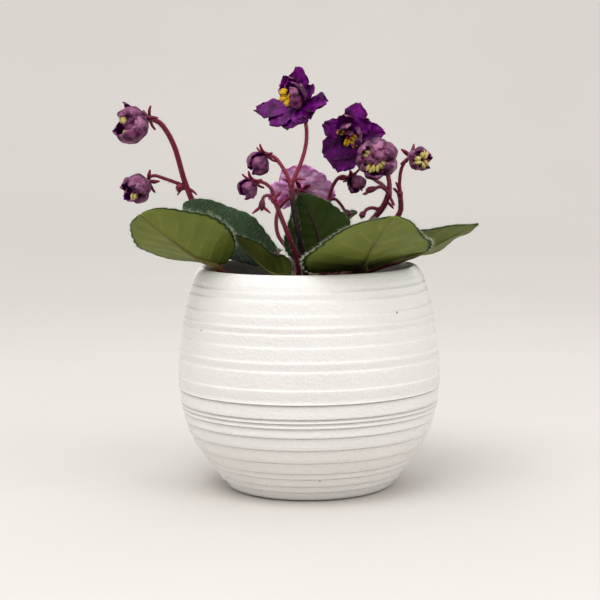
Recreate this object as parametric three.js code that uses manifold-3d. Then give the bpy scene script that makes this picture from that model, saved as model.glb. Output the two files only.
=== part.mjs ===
// A miniature African violet with double flowers in a ribbed round plastic pot.
// Millimetres, +Z up. The origin is the middle of the pot's flat underside, and -Y is the front.
import * as THREE from 'three';
import { mergeVertices } from 'three/addons/utils/BufferGeometryUtils.js';
import Module from 'manifold-3d';

const wasm = await Module();
wasm.setup();

// ---- driving dimensions ----

const GAP = 0.3; // clear space between two pieces that touch on the real plant
const LEAF_THICKNESS = 0.9;
const BRACT_RADIUS = 0.4;
const BUD_RADIUS = 1;
const CALYX_RADIUS = 4.4;
const CALYX_HEART = 1.1;
const CALYX_THICKNESS = 1;
const CALYX_SEAT = 1; // from the heart of a flower back to the middle of its calyx
const CUP_REACH = 4; // a stalk ends this close to the cup of its flower
const YOUNG_WIDTH = 15; // a leaf narrower than this is a young one, with a thinner stem
const LEAF_LOBE = 0.1; // how far a blade's base lobes reach back past its stem, as a share of its width
const PETAL_THICKNESS = 0.6;
const FLAT_PETAL = 60; // a petal that bends by fewer degrees than this takes fewer faces
const FILAMENT_RADIUS = 0.35;
const ANTHER_RADIUS = 1.1;

// Pot: a moulded shell whose outside steps at each ring.
const POT_HEIGHT = 77;
const POT_SIDES = 24;
const RIM_RADIUS = 38.4;
const SEAM_HEIGHT = 35.6;
const SEAM_STEP = 0.6;
const RING_STEP = 0.4;
const RINGS_ABOVE_SEAM = [71.6, 68.9, 64.2, 60.6, 58.1, 54, 49.3, 46.2, 40.3];
const RINGS_BELOW_SEAM = [30.8, 29.3, 27.6, 24.4, 20, 15.3, 11.1, 8.9, 6, 3.6];
const BODY_OUTLINE = [ // radius and height of the outside, from the foot to the shoulder
  [27.4, 0], [29.3, 1.5], [31.7, 4.4], [35.6, 9.8], [39.3, 15], [41.5, 19], [43.3, 24], [44.9, 32],
  [45.5, 38], [45.2, 46], [44.2, 54], [42.9, 62], [41.2, 69], [39.4, 74],
];
const INNER_OUTLINE = [ // the same for the inside, from the floor to the rim
  [25, 2.2], [30, 5], [38.4, 18], [42.6, 32], [42.8, 44], [39.4, 66], [36, 75],
];
const DRAIN_RADIUS = 2.5;
const DRAIN_CIRCLE = 14;
const DRAIN_COUNT = 5;

// Soil and crown.
const SOIL_EDGE_HEIGHT = 67.5;
const SOIL_RISE = 3;
const SOIL_CRUMB = 0.5;
const CROWN_RADIUS = 10.5;
const CROWN_TOP = 75.5;
const CROWN_FOOT = 63;
const CROWN_SIDES = 12;

// Leaves. The stem runs from the crown to the blade, and the blade's line from its base to its
// tip. `face` is the way the upper side looks, `fold` the lift of the left and right halves in
// degrees, seen from the base towards the tip, `open` the share of the fold that is gone at the
// tip, `curl` what the edge adds to it and `taper` the share of the width that is gone at the tip.
const LEAVES = [
  {
    name: 'leaf_left', width: 33, face: [-0.39, 0.65, 0.64], fold: [0, 58], open: 0.4, curl: -6, wave: 0.5,
    stem: [[-8, -4.5, 68], [-15.5, -9.8, 71], [-25.8, -14.4, 74.2]],
    line: [[-31.2, -17, 79.1], [-38.6, -25, 83], [-45.6, -34, 89.6], [-53.6, -42.5, 97.6]],
  },
  {
    name: 'leaf_left_back', width: 26, face: [-0.1, -0.4, 0.9], fold: [6, 2], open: 0, curl: 0, wave: 0.5,
    stem: [[-6, 2.2, 68], [-7.2, 3, 75], [-10, 4.2, 78.4]],
    line: [[-15, 5, 79.6], [-24, 7, 85.8], [-33.5, 9.5, 92.4], [-43.4, 12, 98.6]],
  },
  {
    name: 'leaf_left_inner', width: 17, face: [0.55, 0.05, 0.83], fold: [78, 40], open: 1.15,
    curl: 0, wave: 0.7,
    stem: [[-3.8, -6.4, 68], [-5, -8.6, 71], [-6.4, -9.6, 72.6]],
    line: [[-8, -10, 74], [-15, -9.5, 77.6], [-23.4, -9.5, 86.3], [-34, -9, 97]],
  },
  {
    name: 'leaf_centre', width: 30, taper: 0.5, face: [-0.1, 0.95, 0.2], fold: [8, 4], open: 0,
    curl: 4, wave: 0.5,
    stem: [[3, -7, 68], [5.4, -8, 76], [5.6, -7.8, 79.4]],
    line: [[5.4, -7.4, 82], [3.6, -7.4, 88], [1, -7.4, 95], [-2.4, -7.2, 102]],
  },
  {
    name: 'leaf_front', width: 43, face: [-0.16, 0.5, 0.85], fold: [10, 8], open: 0.8, curl: -4, wave: 0.5,
    stem: [[6, -5, 68], [11, -9, 73], [16, -14, 75.6]],
    line: [[18.6, -18, 77.5], [19.2, -29, 81.5], [21.5, -40, 88], [26.5, -51, 96.5]],
  },
  {
    name: 'leaf_right', width: 30, face: [-0.3, 0.15, 0.95], fold: [-2, 50], open: 0.9,
    curl: 0, wave: 0.5,
    stem: [[8, 0, 68], [17, 0, 73.5], [26, -0.5, 77]],
    line: [[30.5, -1, 79], [39, -4.5, 81.4], [48, -9, 86.8], [57.6, -13, 91.4]],
  },
  {
    name: 'leaf_back_right', width: 29, face: [-0.2, -0.1, 1], fold: [10, 10], open: 0, curl: -4, wave: 0.7,
    stem: [[6.5, 6, 68], [12, 11, 76], [19, 15, 79]],
    line: [[23, 17, 80], [31, 21.5, 82.5], [39, 26, 84.5], [46, 30, 84]],
  },
  {
    name: 'leaf_back', width: 26, face: [0, -0.1, 1], fold: [10, 10], open: 0, curl: -4, wave: 0.7,
    stem: [[1, 8, 68], [2, 14, 75], [3, 21, 78.5]],
    line: [[3.5, 26, 79.5], [4, 34, 81.5], [5, 43, 83], [6, 51, 82]],
  },
  {
    name: 'leaf_back_left', width: 26, face: [0.1, -0.1, 1], fold: [10, 10], open: 0, curl: -4, wave: 0.7,
    stem: [[-5, 7, 68], [-8, 13, 74], [-12, 19, 78]],
    line: [[-15, 22.5, 79], [-22, 29, 80.5], [-29, 35, 81.5], [-36, 40, 81]],
  },
  {
    name: 'leaf_young_right', width: 11, face: [-0.5, -0.2, 0.8], fold: [24, 24], open: 0.4,
    curl: 6, wave: 0.3,
    stem: [[5.5, 4, 70], [8, 10.5, 78], [10.5, 12.5, 84]],
    line: [[11.5, 13, 86.5], [13, 13.2, 89.5], [15, 13.4, 92.5], [17.6, 13.4, 94.6]],
  },
  {
    name: 'leaf_young_left', width: 9, face: [0.5, -0.3, 0.8], fold: [26, 26], open: 0.4, curl: 6, wave: 0.3,
    stem: [[-2.6, 3.6, 70], [-3.6, 6.2, 76], [-4.1, 7.8, 80]],
    line: [[-4.4, 8.8, 81.5], [-5, 10.4, 83.8], [-5.8, 11.8, 86], [-7, 13, 87.6]],
  },
];

// Flower stalks: runs of round stem, each with its radius and its route, then the small bracts
// at the forks and the closed buds that hang from them. The first run stands in the crown.
const STALKS = [
  {
    name: 'stalk_left',
    runs: [
      {
        radius: 1,
        line: [[-4, 5, 70], [-9, 13, 78], [-21, 22.5, 87], [-34, 25, 93.5], [-41.5, 22.5, 99.5]],
      },
      {
        radius: 0.95,
        line: [
          [-41.4, 22.5, 99], [-44, 20, 107], [-46.8, 16, 118.4],
          [-50.6, 12, 126], [-54.4, 9.4, 128.4],
        ],
      },
      {
        radius: 0.62,
        line: [
          [-43.2, 21.2, 104], [-47, 20, 105.6], [-50.6, 19, 107],
          [-54, 17.4, 108.2], [-56, 16, 107.6],
        ],
      },
    ],
    bracts: [
      [[-43, 21.4, 103.4], [-45, 20.4, 103], [-46.4, 19.8, 101]],
      [[-43, 21.4, 103.8], [-41, 21, 102.4], [-39.4, 20.8, 101]],
    ],
    buds: [[[-43.8, 21, 104], [-45.6, 19.4, 104], [-46, 18.6, 102.4]]],
  },
  {
    name: 'stalk_top',
    runs: [
      {
        radius: 1,
        line: [
          [-0.5, -4.4, 70], [-1.2, -8.4, 79], [-3, -11.6, 88],
          [-4.6, -12.6, 97], [-5.5, -13, 106],
        ],
      },
      {
        radius: 0.62,
        line: [
          [-5.5, -13, 105.6], [-7.4, -13, 110], [-10.2, -13, 114.2],
          [-12.4, -13.4, 115.4], [-14, -13.6, 115],
        ],
      },
      {
        radius: 0.66,
        line: [
          [-5.4, -13, 105.6], [-2.4, -13, 112], [-0.5, -13, 118],
          [0, -12.6, 123.5], [-0.8, -11, 128.8],
        ],
      },
    ],
    bracts: [
      [[-5.6, -13, 105.4], [-6.8, -13.8, 107], [-8.4, -14.4, 107.4]],
      [[-5.2, -13, 105.6], [-3.6, -13.8, 107.4], [-0.4, -14.6, 107.2]],
    ],
    buds: [],
  },
  {
    name: 'stalk_centre',
    runs: [
      {
        radius: 0.85,
        line: [
          [-3.6, -3.4, 70], [-3.4, -9, 78.5], [-6, -13.6, 87],
          [-8.8, -15.4, 94.4], [-11.2, -16, 101],
        ],
      },
      {
        radius: 0.58,
        line: [
          [-11.2, -16, 100.8], [-12, -16.4, 104.2], [-14, -17, 106.2],
          [-16, -17.2, 106.8], [-17.6, -17.4, 106],
        ],
      },
      {
        radius: 0.55,
        line: [[-11.2, -16, 101], [-13, -16.4, 102.2], [-14.6, -16.8, 101.8], [-15.2, -17, 100.2]],
      },
    ],
    bracts: [
      [[-11.2, -16, 101], [-9.8, -16.8, 102.4], [-8.6, -17.2, 103.6]],
      [[-11.2, -16, 101], [-10, -16.6, 99.8], [-9.2, -17.2, 98.6]],
      [[-15.3, -17, 98.8], [-16.8, -17.4, 97.6], [-18.6, -17.6, 96.2]],
      [[-15.3, -17, 98.8], [-14, -17.2, 97.6], [-12.4, -17.4, 96.2]],
    ],
    buds: [[[-15, -16.9, 100.9], [-15.3, -17, 99], [-15.3, -17, 97.2]]],
  },
  {
    name: 'stalk_pink',
    runs: [
      { radius: 0.7, line: [[-1, 6, 70], [-5, 13, 79], [-10.6, 17, 87], [-10, 19, 96], [-3, 19, 102]] },
    ],
    bracts: [],
    buds: [],
  },
  {
    name: 'stalk_middle',
    runs: [
      { radius: 0.75, line: [[1.5, 3, 70], [3, 6, 80], [5.5, 7, 92], [7.4, 7, 99.5]] },
      {
        radius: 0.62,
        line: [
          [7.4, 7, 99.2], [8.8, 6.4, 103.6], [10.6, 5.6, 106.6],
          [12.6, 5, 107.6], [14.4, 4.4, 107],
        ],
      },
      { radius: 0.55, line: [[7.4, 7, 99.2], [9.8, 6.6, 99.6], [12, 6.4, 97.4], [13.4, 6.4, 95]] },
    ],
    bracts: [],
    buds: [[[13, 6.4, 95.6], [14.2, 6.2, 94.6], [14.4, 6, 93.2]]],
  },
  {
    name: 'stalk_right',
    runs: [
      {
        radius: 1.1,
        line: [[3.8, -1, 70], [10, 0, 80], [19, -1, 89], [25.6, -3.6, 96.6], [28, -5.4, 102]],
      },
      {
        radius: 0.8,
        line: [[28, -5.4, 101.6], [28.2, -5, 105], [27.4, -4.4, 109.5], [26, -4.4, 112.8]],
      },
      {
        radius: 0.62,
        line: [
          [28, -5.2, 102.4], [25.6, -2.6, 105], [22.8, 1, 107],
          [19.4, 5, 111.5], [16.6, 5.4, 118.6],
        ],
      },
      { radius: 0.6, line: [[28, -5.4, 102.2], [25.4, -7, 104.2], [23, -8, 103.8]] },
      { radius: 0.6, line: [[25, -3.4, 96], [22.6, -5, 97], [20.4, -6, 96.6], [19.4, -6.4, 95.4]] },
    ],
    bracts: [
      [[28, -5.4, 101.6], [29.2, -6, 98.8], [29.8, -6.4, 97.8]],
      [[27, -4.8, 99.4], [28.8, -4.4, 97.6], [29.6, -4, 96.6]],
      [[21.6, -8.8, 103.4], [20, -9.2, 102.2], [18.8, -9.4, 102]],
    ],
    buds: [
      [[23.4, -8, 103.9], [21.6, -8.6, 103.4], [20, -9, 103.2]],
      [[19.6, -6.4, 95.6], [18.8, -6.8, 94.8], [18.4, -7, 93.6]],
    ],
  },
  {
    name: 'stalk_far_right',
    runs: [
      {
        radius: 1,
        line: [[3.6, 2.2, 70], [13, 5.5, 79.5], [26, 6, 88], [32.2, 4.6, 94.5], [32.4, 4, 101.5]],
      },
      { radius: 0.6, line: [[32.4, 4, 101.2], [32.2, 3.8, 105], [32.7, 3, 109.5], [34, 2, 112.4]] },
    ],
    bracts: [
      [[32.4, 4, 101.6], [31.6, 3.4, 104], [30.8, 3, 105.4]],
      [[32.4, 4, 100.4], [30.8, 3.4, 102.6], [29.9, 2.6, 103.2]],
    ],
    buds: [],
  },
];

// Flowers. `at` is the middle, `toward` the way the flower looks and `core` the radius of the
// small heart. A petal is [clock angle, lean at the root, lean at the tip, length, width, cup],
// with angles in degrees: the lean is measured from the way the flower looks. An anther is
// [clock angle, lean, length of its filament].
const BLOOMS = [
  {
    name: 'bloom_top', at: [-2.6, -12, 131.8], toward: [-0.35, -0.6, 0.7], core: 1.7,
    petals: [
      [194, 88, 76, 15.5, 9, 0.15], [230, 86, 90, 11.5, 10, 0.1], [268, 86, 98, 10.5, 10, 0.1],
      [312, 86, 92, 10, 9, 0.15], [356, 84, 74, 12.5, 9, 0.25], [92, 62, 34, 13.5, 8.5, 0.3],
      [52, 80, 50, 9, 6.5, 0.3], [126, 50, 0, 12, 7, 0.5], [158, 56, 6, 10, 6, 0.5],
      [350, 44, -20, 7, 5.5, 0.5],
    ],
    anthers: [[178, 28, 6.6], [200, 40, 5.4], [184, 14, 4], [232, 42, 3.8]],
  },
  {
    name: 'bloom_right_back', at: [15.2, 1, 121.4], toward: [-0.1, -0.95, 0.12], core: 1.7,
    petals: [
      [216, 86, 90, 11.5, 9, 0.1], [250, 84, 88, 13, 10.5, 0.1], [294, 86, 90, 10, 9, 0.15],
      [6, 84, 88, 12, 7.5, 0.2], [76, 84, 92, 12, 8, 0.2], [38, 80, 70, 9, 7, 0.25],
      [156, 80, 84, 10.5, 7, 0.2], [112, 74, 0, 12, 8, 0.5], [322, 64, 10, 8, 7, 0.5],
    ],
    anthers: [[160, 68, 3.8], [250, 42, 3.8], [296, 50, 4.2], [330, 30, 3.4]],
  },
  {
    name: 'bloom_right_front', at: [24.4, -9, 114.2], toward: [-0.15, -0.95, 0], core: 1.7,
    petals: [
      [28, 102, -72, 17.5, 9, 0.5], [84, 102, -80, 17, 9, 0.5], [140, 98, -56, 15.5, 8.5, 0.5],
      [196, 102, -66, 16.5, 9, 0.5], [258, 102, -50, 15.5, 9, 0.5], [324, 102, -70, 17.5, 9, 0.5],
    ],
    anthers: [[155, 26, 7.4], [238, 30, 8], [268, 24, 8], [314, 22, 7.6]],
  },
  {
    name: 'bloom_left_upper', at: [-56.6, 6, 128], toward: [-0.75, -0.6, -0.2], core: 1.6,
    petals: [
      [84, 92, -60, 14, 8, 0.5], [104, 66, 44, 9.5, 3.6, 0.5], [350, 96, -16, 9.5, 8.5, 0.5],
      [222, 96, -76, 17, 9, 0.5], [270, 100, -80, 18, 9.5, 0.5], [318, 100, -66, 16, 9, 0.5],
    ],
    anthers: [[84, 14, 7.6], [262, 26, 7.4]],
  },
  {
    name: 'bloom_left_lower', at: [-57.4, 12.6, 105.4], toward: [-0.5, -0.8, -0.3], core: 1.6,
    petals: [
      [88, 98, -76, 12.5, 8, 0.5], [154, 96, -50, 12, 7, 0.5], [216, 94, -40, 11.5, 7, 0.5],
      [288, 98, -64, 12.5, 7.5, 0.5], [18, 98, -70, 12.5, 8, 0.5],
    ],
    anthers: [[262, 24, 6]],
  },
  {
    name: 'bloom_pink', at: [-1.8, 20.4, 103.2], toward: [0.1, 0.85, 0.4], core: 1.5,
    petals: [
      [338, 84, 98, 13, 11, 0.1], [42, 82, 84, 9.5, 9, 0.1], [102, 80, 88, 9, 9, 0.15],
      [152, 84, 94, 10, 9, 0.1], [198, 84, 96, 12.5, 11, 0.1],
    ],
    anthers: [[80, 20, 3.2], [260, 24, 3.2]],
  },
  {
    name: 'bud_centre_upper', at: [-16.4, -14.4, 113], toward: [-0.62, -0.3, -0.72], core: 3.1,
    petals: [
      [20, 136, -40, 8.4, 5, 0.5], [92, 136, -40, 8.4, 5, 0.5], [164, 136, -30, 8.4, 5, 0.5],
      [236, 136, -40, 8.4, 5, 0.5], [308, 136, -40, 8.4, 5, 0.5],
    ],
    anthers: [],
  },
  {
    name: 'bud_centre_lower', at: [-20, -18, 104.6], toward: [-0.5, -0.4, -0.72], core: 2.5,
    petals: [
      [50, 136, -40, 6.8, 4.2, 0.5], [122, 136, -30, 6.8, 4.2, 0.5], [194, 136, -40, 6.8, 4.2, 0.5],
      [266, 136, -40, 6.8, 4.2, 0.5], [338, 136, -40, 6.8, 4.2, 0.5],
    ],
    anthers: [],
  },
  {
    name: 'bud_middle', at: [17, 3.8, 105], toward: [0.5, -0.3, -0.8], core: 2.4,
    petals: [
      [10, 136, -40, 6.6, 4.2, 0.5], [82, 130, -20, 6.6, 4.2, 0.5], [154, 136, -40, 6.6, 4.2, 0.5],
      [226, 136, -40, 6.6, 4.2, 0.5], [298, 136, -40, 6.6, 4.2, 0.5],
    ],
    anthers: [],
  },
  {
    name: 'bud_far_right', at: [37.2, -0.4, 113.9], toward: [0.45, -0.85, -0.1], core: 1.6,
    petals: [
      [15, 102, -50, 9, 5.4, 0.5], [87, 102, -60, 9, 5.4, 0.5], [159, 102, -44, 8.8, 5.4, 0.5],
      [231, 102, -54, 9, 5.4, 0.5], [303, 102, -50, 9, 5.4, 0.5],
    ],
    anthers: [[70, 24, 4.4], [190, 26, 4.4], [300, 26, 4.4]],
  },
];

// ---- finishes ----

const finish = (color, roughness) => new THREE.MeshStandardMaterial({ color, roughness, metalness: 0 });
const potPlastic = finish(0xece8e1, 0.55);
const soilMix = finish(0x3a2a20, 1);
const crownGreen = finish(0x5c5a36, 0.8);
const leafGreen = finish(0x4f6236, 0.6);
const stalkCrimson = finish(0x7d1c3a, 0.5);
const petalPurple = finish(0x4c1259, 0.6);
const petalPink = finish(0xb27bb4, 0.6);
const antherYellow = finish(0xdcbc1e, 0.6);

// ---- solids ----

const vector = ([x, y, z]) => new THREE.Vector3(x, y, z);
const radians = THREE.MathUtils.degToRad;
const curve = (points) => new THREE.CatmullRomCurve3(points.map(vector), false, 'catmullrom', 0.5);

function toSolid(geometry) {
  const bare = geometry.clone();
  bare.deleteAttribute('normal');
  bare.deleteAttribute('uv');
  const merged = mergeVertices(bare, 1e-4);
  const triVerts = [];
  for (let i = 0; i < merged.index.count; i += 3) {
    const corners = [0, 1, 2].map((k) => merged.index.getX(i + k));
    if (new Set(corners).size === 3) triVerts.push(...corners);
  }
  return new wasm.Manifold(new wasm.Mesh({
    numProp: 3,
    vertProperties: new Float32Array(merged.attributes.position.array),
    triVerts: new Uint32Array(triVerts),
  }));
}

function toGeometry(solid) {
  const mesh = solid.getMesh();
  const geometry = new THREE.BufferGeometry();
  geometry.setAttribute('position', new THREE.BufferAttribute(mesh.vertProperties, 3));
  geometry.setIndex(new THREE.BufferAttribute(mesh.triVerts, 1));
  geometry.computeVertexNormals();
  return geometry;
}

const join = (solids) => solids.reduce((whole, piece) => whole.add(piece));

// The largest body of a solid: what a cut leaves loose is dropped.
function largest(solid) {
  return solid.decompose().reduce((best, body) => (body.volume() > best.volume() ? body : best));
}

function tube(points, radius, sides, steps) {
  const section = [];
  for (let k = 0; k < sides; k++) {
    const angle = (2 * Math.PI * k) / sides;
    section.push(new THREE.Vector2(radius * Math.cos(angle), radius * Math.sin(angle)));
  }
  const settings = { steps, extrudePath: curve(points), bevelEnabled: false };
  return toSolid(new THREE.ExtrudeGeometry(new THREE.Shape(section), settings));
}

// A bead with eight faces, stretched along a direction.
function bead(at, radius, stretch, along) {
  const geometry = new THREE.OctahedronGeometry(radius);
  geometry.scale(...stretch);
  geometry.applyQuaternion(new THREE.Quaternion().setFromUnitVectors(new THREE.Vector3(0, 0, 1), along));
  geometry.translate(at.x, at.y, at.z);
  return toSolid(geometry);
}

// A thin sheet: `place(s, u)` is its middle, s from the root to the tip and u from edge to edge.
// Both faces are split into triangles alike.
function sheet(rows, columns, thickness, place) {
  const middle = [];
  for (let i = 0; i <= rows; i++) {
    middle.push([]);
    for (let j = 0; j <= columns; j++) middle[i].push(place(i / rows, (2 * j) / columns - 1, i));
  }
  const stride = columns + 1;
  const positions = [];
  for (const side of [1, -1]) {
    for (let i = 0; i <= rows; i++) {
      for (let j = 0; j <= columns; j++) {
        const along = middle[Math.min(i + 1, rows)][j].clone().sub(middle[Math.max(i - 1, 0)][j]);
        const across = middle[i][Math.min(j + 1, columns)].clone().sub(middle[i][Math.max(j - 1, 0)]);
        const normal = across.cross(along).normalize();
        positions.push(...middle[i][j].clone().addScaledVector(normal, (side * thickness) / 2));
      }
    }
  }
  const low = stride * (rows + 1);
  const index = [];
  for (let i = 0; i < rows; i++) {
    for (let j = 0; j < columns; j++) {
      const a = i * stride + j;
      const [b, c, d] = [a + 1, a + stride + 1, a + stride];
      index.push(a, b, c, a, c, d);
      index.push(low + a, low + c, low + b, low + a, low + d, low + c);
    }
  }
  const edge = [];
  for (let j = 0; j < columns; j++) edge.push(j);
  for (let i = 0; i < rows; i++) edge.push(i * stride + columns);
  for (let j = columns; j > 0; j--) edge.push(rows * stride + j);
  for (let i = rows; i > 0; i--) edge.push(i * stride);
  edge.forEach((from, k) => {
    const to = edge[(k + 1) % edge.length];
    index.push(from, low + from, low + to, from, low + to, to);
  });
  const geometry = new THREE.BufferGeometry();
  geometry.setAttribute('position', new THREE.Float32BufferAttribute(positions, 3));
  geometry.setIndex(index);
  return toSolid(geometry);
}

// ---- pot ----

function radiusAt(outline, height) {
  let k = 1;
  while (k < outline.length - 1 && outline[k][1] < height) k++;
  const [r0, z0] = outline[k - 1];
  const [r1, z1] = outline[k];
  return r0 + ((r1 - r0) * (height - z0)) / (z1 - z0);
}

function potOutline() {
  const points = [[0, 0], BODY_OUTLINE[0], BODY_OUTLINE[1]];
  for (const height of [...RINGS_BELOW_SEAM].reverse()) {
    const radius = radiusAt(BODY_OUTLINE, height);
    points.push([radius - RING_STEP / 2, height - 0.05], [radius + RING_STEP / 2, height + 0.05]);
  }
  const seam = radiusAt(BODY_OUTLINE, SEAM_HEIGHT);
  points.push([seam - SEAM_STEP / 2, SEAM_HEIGHT - 0.1], [seam + SEAM_STEP / 2, SEAM_HEIGHT]);
  for (const height of [...RINGS_ABOVE_SEAM].reverse()) {
    const radius = radiusAt(BODY_OUTLINE, height);
    points.push([radius + RING_STEP / 2, height - 0.05], [radius - RING_STEP / 2, height + 0.05]);
  }
  points.push([RIM_RADIUS + 0.9, 74], [RIM_RADIUS + 0.3, 75.8], [RIM_RADIUS - 0.8, POT_HEIGHT]);
  points.push([RIM_RADIUS - 2, POT_HEIGHT], ...[...INNER_OUTLINE].reverse(), [0, INNER_OUTLINE[0][1]]);
  return points;
}

function lathe(outline, sides) {
  const points = outline.map(([radius, height]) => new THREE.Vector2(radius, height));
  const geometry = new THREE.LatheGeometry(points, sides);
  geometry.rotateX(Math.PI / 2);
  return toSolid(geometry);
}

function pot() {
  const shell = lathe(potOutline(), POT_SIDES);
  const drains = [];
  for (let k = 0; k < DRAIN_COUNT; k++) {
    const angle = (2 * Math.PI * (k + 0.5)) / DRAIN_COUNT;
    const drill = new THREE.CylinderGeometry(DRAIN_RADIUS, DRAIN_RADIUS, 12, 8);
    drill.rotateX(Math.PI / 2);
    drill.translate(DRAIN_CIRCLE * Math.cos(angle), DRAIN_CIRCLE * Math.sin(angle), 0);
    drains.push(toSolid(drill));
  }
  return shell.subtract(join(drains));
}

// ---- leaves ----

const leafWidth = (s) => Math.sin(Math.PI * (0.06 + 0.92 * s ** 0.85)) ** 0.62;

function leafPlace(leaf) {
  const line = curve(leaf.line);
  const facing = vector(leaf.face);
  const { taper = 0 } = leaf;
  return (s, u, row) => {
    const along = line.getTangent(s);
    const up = facing.clone().addScaledVector(along, -facing.dot(along)).normalize();
    const side = along.clone().cross(up);
    const fold = (u < 0 ? leaf.fold[0] : leaf.fold[1]) * (1 - leaf.open * s);
    const lift = radians(fold + leaf.curl * Math.abs(u));
    const tooth = Math.abs(u) === 1 && row % 2 ? 1.05 : 1;
    const reach = (leaf.width / 2) * leafWidth(s) * (1 - taper * s) * Math.abs(u) * tooth;
    const wave = leaf.wave * u * u * Math.sin(14 * s + (u < 0 ? 0 : 2));
    const back = LEAF_LOBE * leaf.width * Math.abs(u) ** 1.5 * (1 - s) ** 4;
    return line.getPoint(s)
      .addScaledVector(along, -back)
      .addScaledVector(side, Math.sign(u) * reach * Math.cos(lift))
      .addScaledVector(up, reach * Math.sin(lift) + wave);
  };
}

// The stem runs on under the first part of the blade, sinking into it.
function leafStem(leaf, grow) {
  const line = curve(leaf.line);
  const radius = leaf.width < YOUNG_WIDTH ? 0.8 : 1.3;
  const under = vector(leaf.face).normalize().multiplyScalar(-radius * 0.6);
  const ends = [0, 0.14].map((s) => line.getPoint(s).addScaledVector(under, 1 - 6 * s).toArray());
  return tube([...leaf.stem, ...ends], radius + grow, 5, 5);
}

function leaf(spec) {
  const [rows, columns] = spec.width < YOUNG_WIDTH ? [5, 2] : [11, 4];
  const blade = sheet(rows, columns, LEAF_THICKNESS, leafPlace(spec));
  return largest(blade.add(leafStem(spec, 0)));
}

// ---- stalks ----

function bloomFrame(bloom) {
  const axis = vector(bloom.toward).normalize();
  const right = new THREE.Vector3(0, 0, 1).cross(axis).normalize();
  const up = axis.clone().cross(right);
  return { at: vector(bloom.at), axis, right, up };
}

function cupPlace(bloom) {
  const { at, axis } = bloomFrame(bloom);
  return at.addScaledVector(axis, -(bloom.core + CALYX_SEAT));
}

// The calyx behind a flower: five narrow sepals in a star, square to the way the flower looks.
function calyx(bloom, grow) {
  const { axis, right, up } = bloomFrame(bloom);
  const outline = [];
  for (let k = 0; k < 10; k++) {
    const reach = (k % 2 ? CALYX_HEART : CALYX_RADIUS) + grow;
    const angle = (Math.PI * k) / 5;
    outline.push(new THREE.Vector2(reach * Math.cos(angle), reach * Math.sin(angle)));
  }
  const depth = CALYX_THICKNESS + 2 * grow;
  const geometry = new THREE.ExtrudeGeometry(new THREE.Shape(outline), { depth, bevelEnabled: false });
  geometry.translate(0, 0, -depth / 2);
  geometry.applyMatrix4(new THREE.Matrix4().makeBasis(right, up, axis).setPosition(cupPlace(bloom)));
  return toSolid(geometry);
}

// The flowers whose cup lies close to the end of one of a stalk's runs.
function stalkBlooms(stalk) {
  const tips = stalk.runs.map((run) => vector(run.line[run.line.length - 1]));
  return BLOOMS.filter((bloom) => tips.some((tip) => tip.distanceTo(cupPlace(bloom)) < CUP_REACH));
}

function stalk(spec, grow = 0) {
  const flowers = stalkBlooms(spec);
  const cups = flowers.map(cupPlace);
  const pieces = spec.runs.map(({ line, radius }) => {
    const end = vector(line[line.length - 1]);
    const cup = cups.find((place) => place.distanceTo(end) < CUP_REACH);
    const route = cup ? [...line, cup.toArray()] : line;
    return tube(route, radius + grow, radius > 0.7 ? 5 : 4, route.length);
  });
  for (const line of spec.bracts) pieces.push(tube(line, BRACT_RADIUS + grow, 3, 2));
  for (const line of spec.buds) pieces.push(tube(line, BUD_RADIUS + grow, 5, 2));
  for (const bloom of flowers) pieces.push(calyx(bloom, grow));
  return largest(join(pieces));
}

// ---- flowers ----

const petalWidth = (s) => Math.sin(Math.PI * (0.04 + 0.86 * s ** 1.6)) ** 0.8;

function petalPlace(bloom, [clock, leanRoot, leanTip, length, width, cup], k) {
  const { at, axis, right, up } = bloomFrame(bloom);
  const angle = radians(clock);
  const out = right.clone().multiplyScalar(Math.cos(angle)).addScaledVector(up, Math.sin(angle));
  const across = axis.clone().cross(out);
  const root = radians(leanRoot);
  const turn = radians(leanTip - leanRoot) || 1e-6;
  return (s, u) => {
    const lean = root + turn * s;
    const rise = (length * (Math.sin(lean) - Math.sin(root))) / turn;
    const reach = (length * (Math.cos(root) - Math.cos(lean))) / turn;
    const inward = axis.clone().multiplyScalar(Math.sin(lean)).addScaledVector(out, -Math.cos(lean));
    const half = (width / 2) * petalWidth(s);
    const bend = cup * half * u * u + 0.35 * s * u * Math.sin(9 * s + 2 * k);
    return at.clone()
      .addScaledVector(axis, rise)
      .addScaledVector(out, reach)
      .addScaledVector(across, half * u * (1 - 0.3 * cup * u * u))
      .addScaledVector(inward, bend);
  };
}

function petals(bloom) {
  const heart = new THREE.IcosahedronGeometry(bloom.core);
  const pieces = [toSolid(heart.translate(...bloom.at))];
  bloom.petals.forEach((petal, k) => {
    const place = petalPlace(bloom, petal, k);
    const rows = Math.abs(petal[1] - petal[2]) > FLAT_PETAL ? 3 : 2;
    pieces.push(sheet(rows, 2, PETAL_THICKNESS, (s, u) => place(s ** 0.75, u)));
  });
  return join(pieces);
}

function stamens(bloom, grow = 0) {
  const { at, axis, right, up } = bloomFrame(bloom);
  const seat = at.clone().addScaledVector(axis, bloom.core + GAP + 0.5);
  const pieces = [bead(seat, ANTHER_RADIUS + grow, [1, 1, 0.6], axis)];
  for (const [clock, lean, length] of bloom.anthers) {
    const [turn, tilt] = [radians(clock), radians(lean)];
    const out = right.clone().multiplyScalar(Math.cos(turn)).addScaledVector(up, Math.sin(turn));
    const aim = axis.clone().multiplyScalar(Math.cos(tilt)).addScaledVector(out, Math.sin(tilt));
    const tip = at.clone().addScaledVector(axis, bloom.core * 0.6).addScaledVector(aim, length);
    pieces.push(tube([seat.toArray(), tip.toArray()], FILAMENT_RADIUS + grow, 3, 1));
    pieces.push(bead(tip, ANTHER_RADIUS + grow, [0.9, 0.9, 1.5], out));
  }
  return join(pieces);
}

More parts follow.
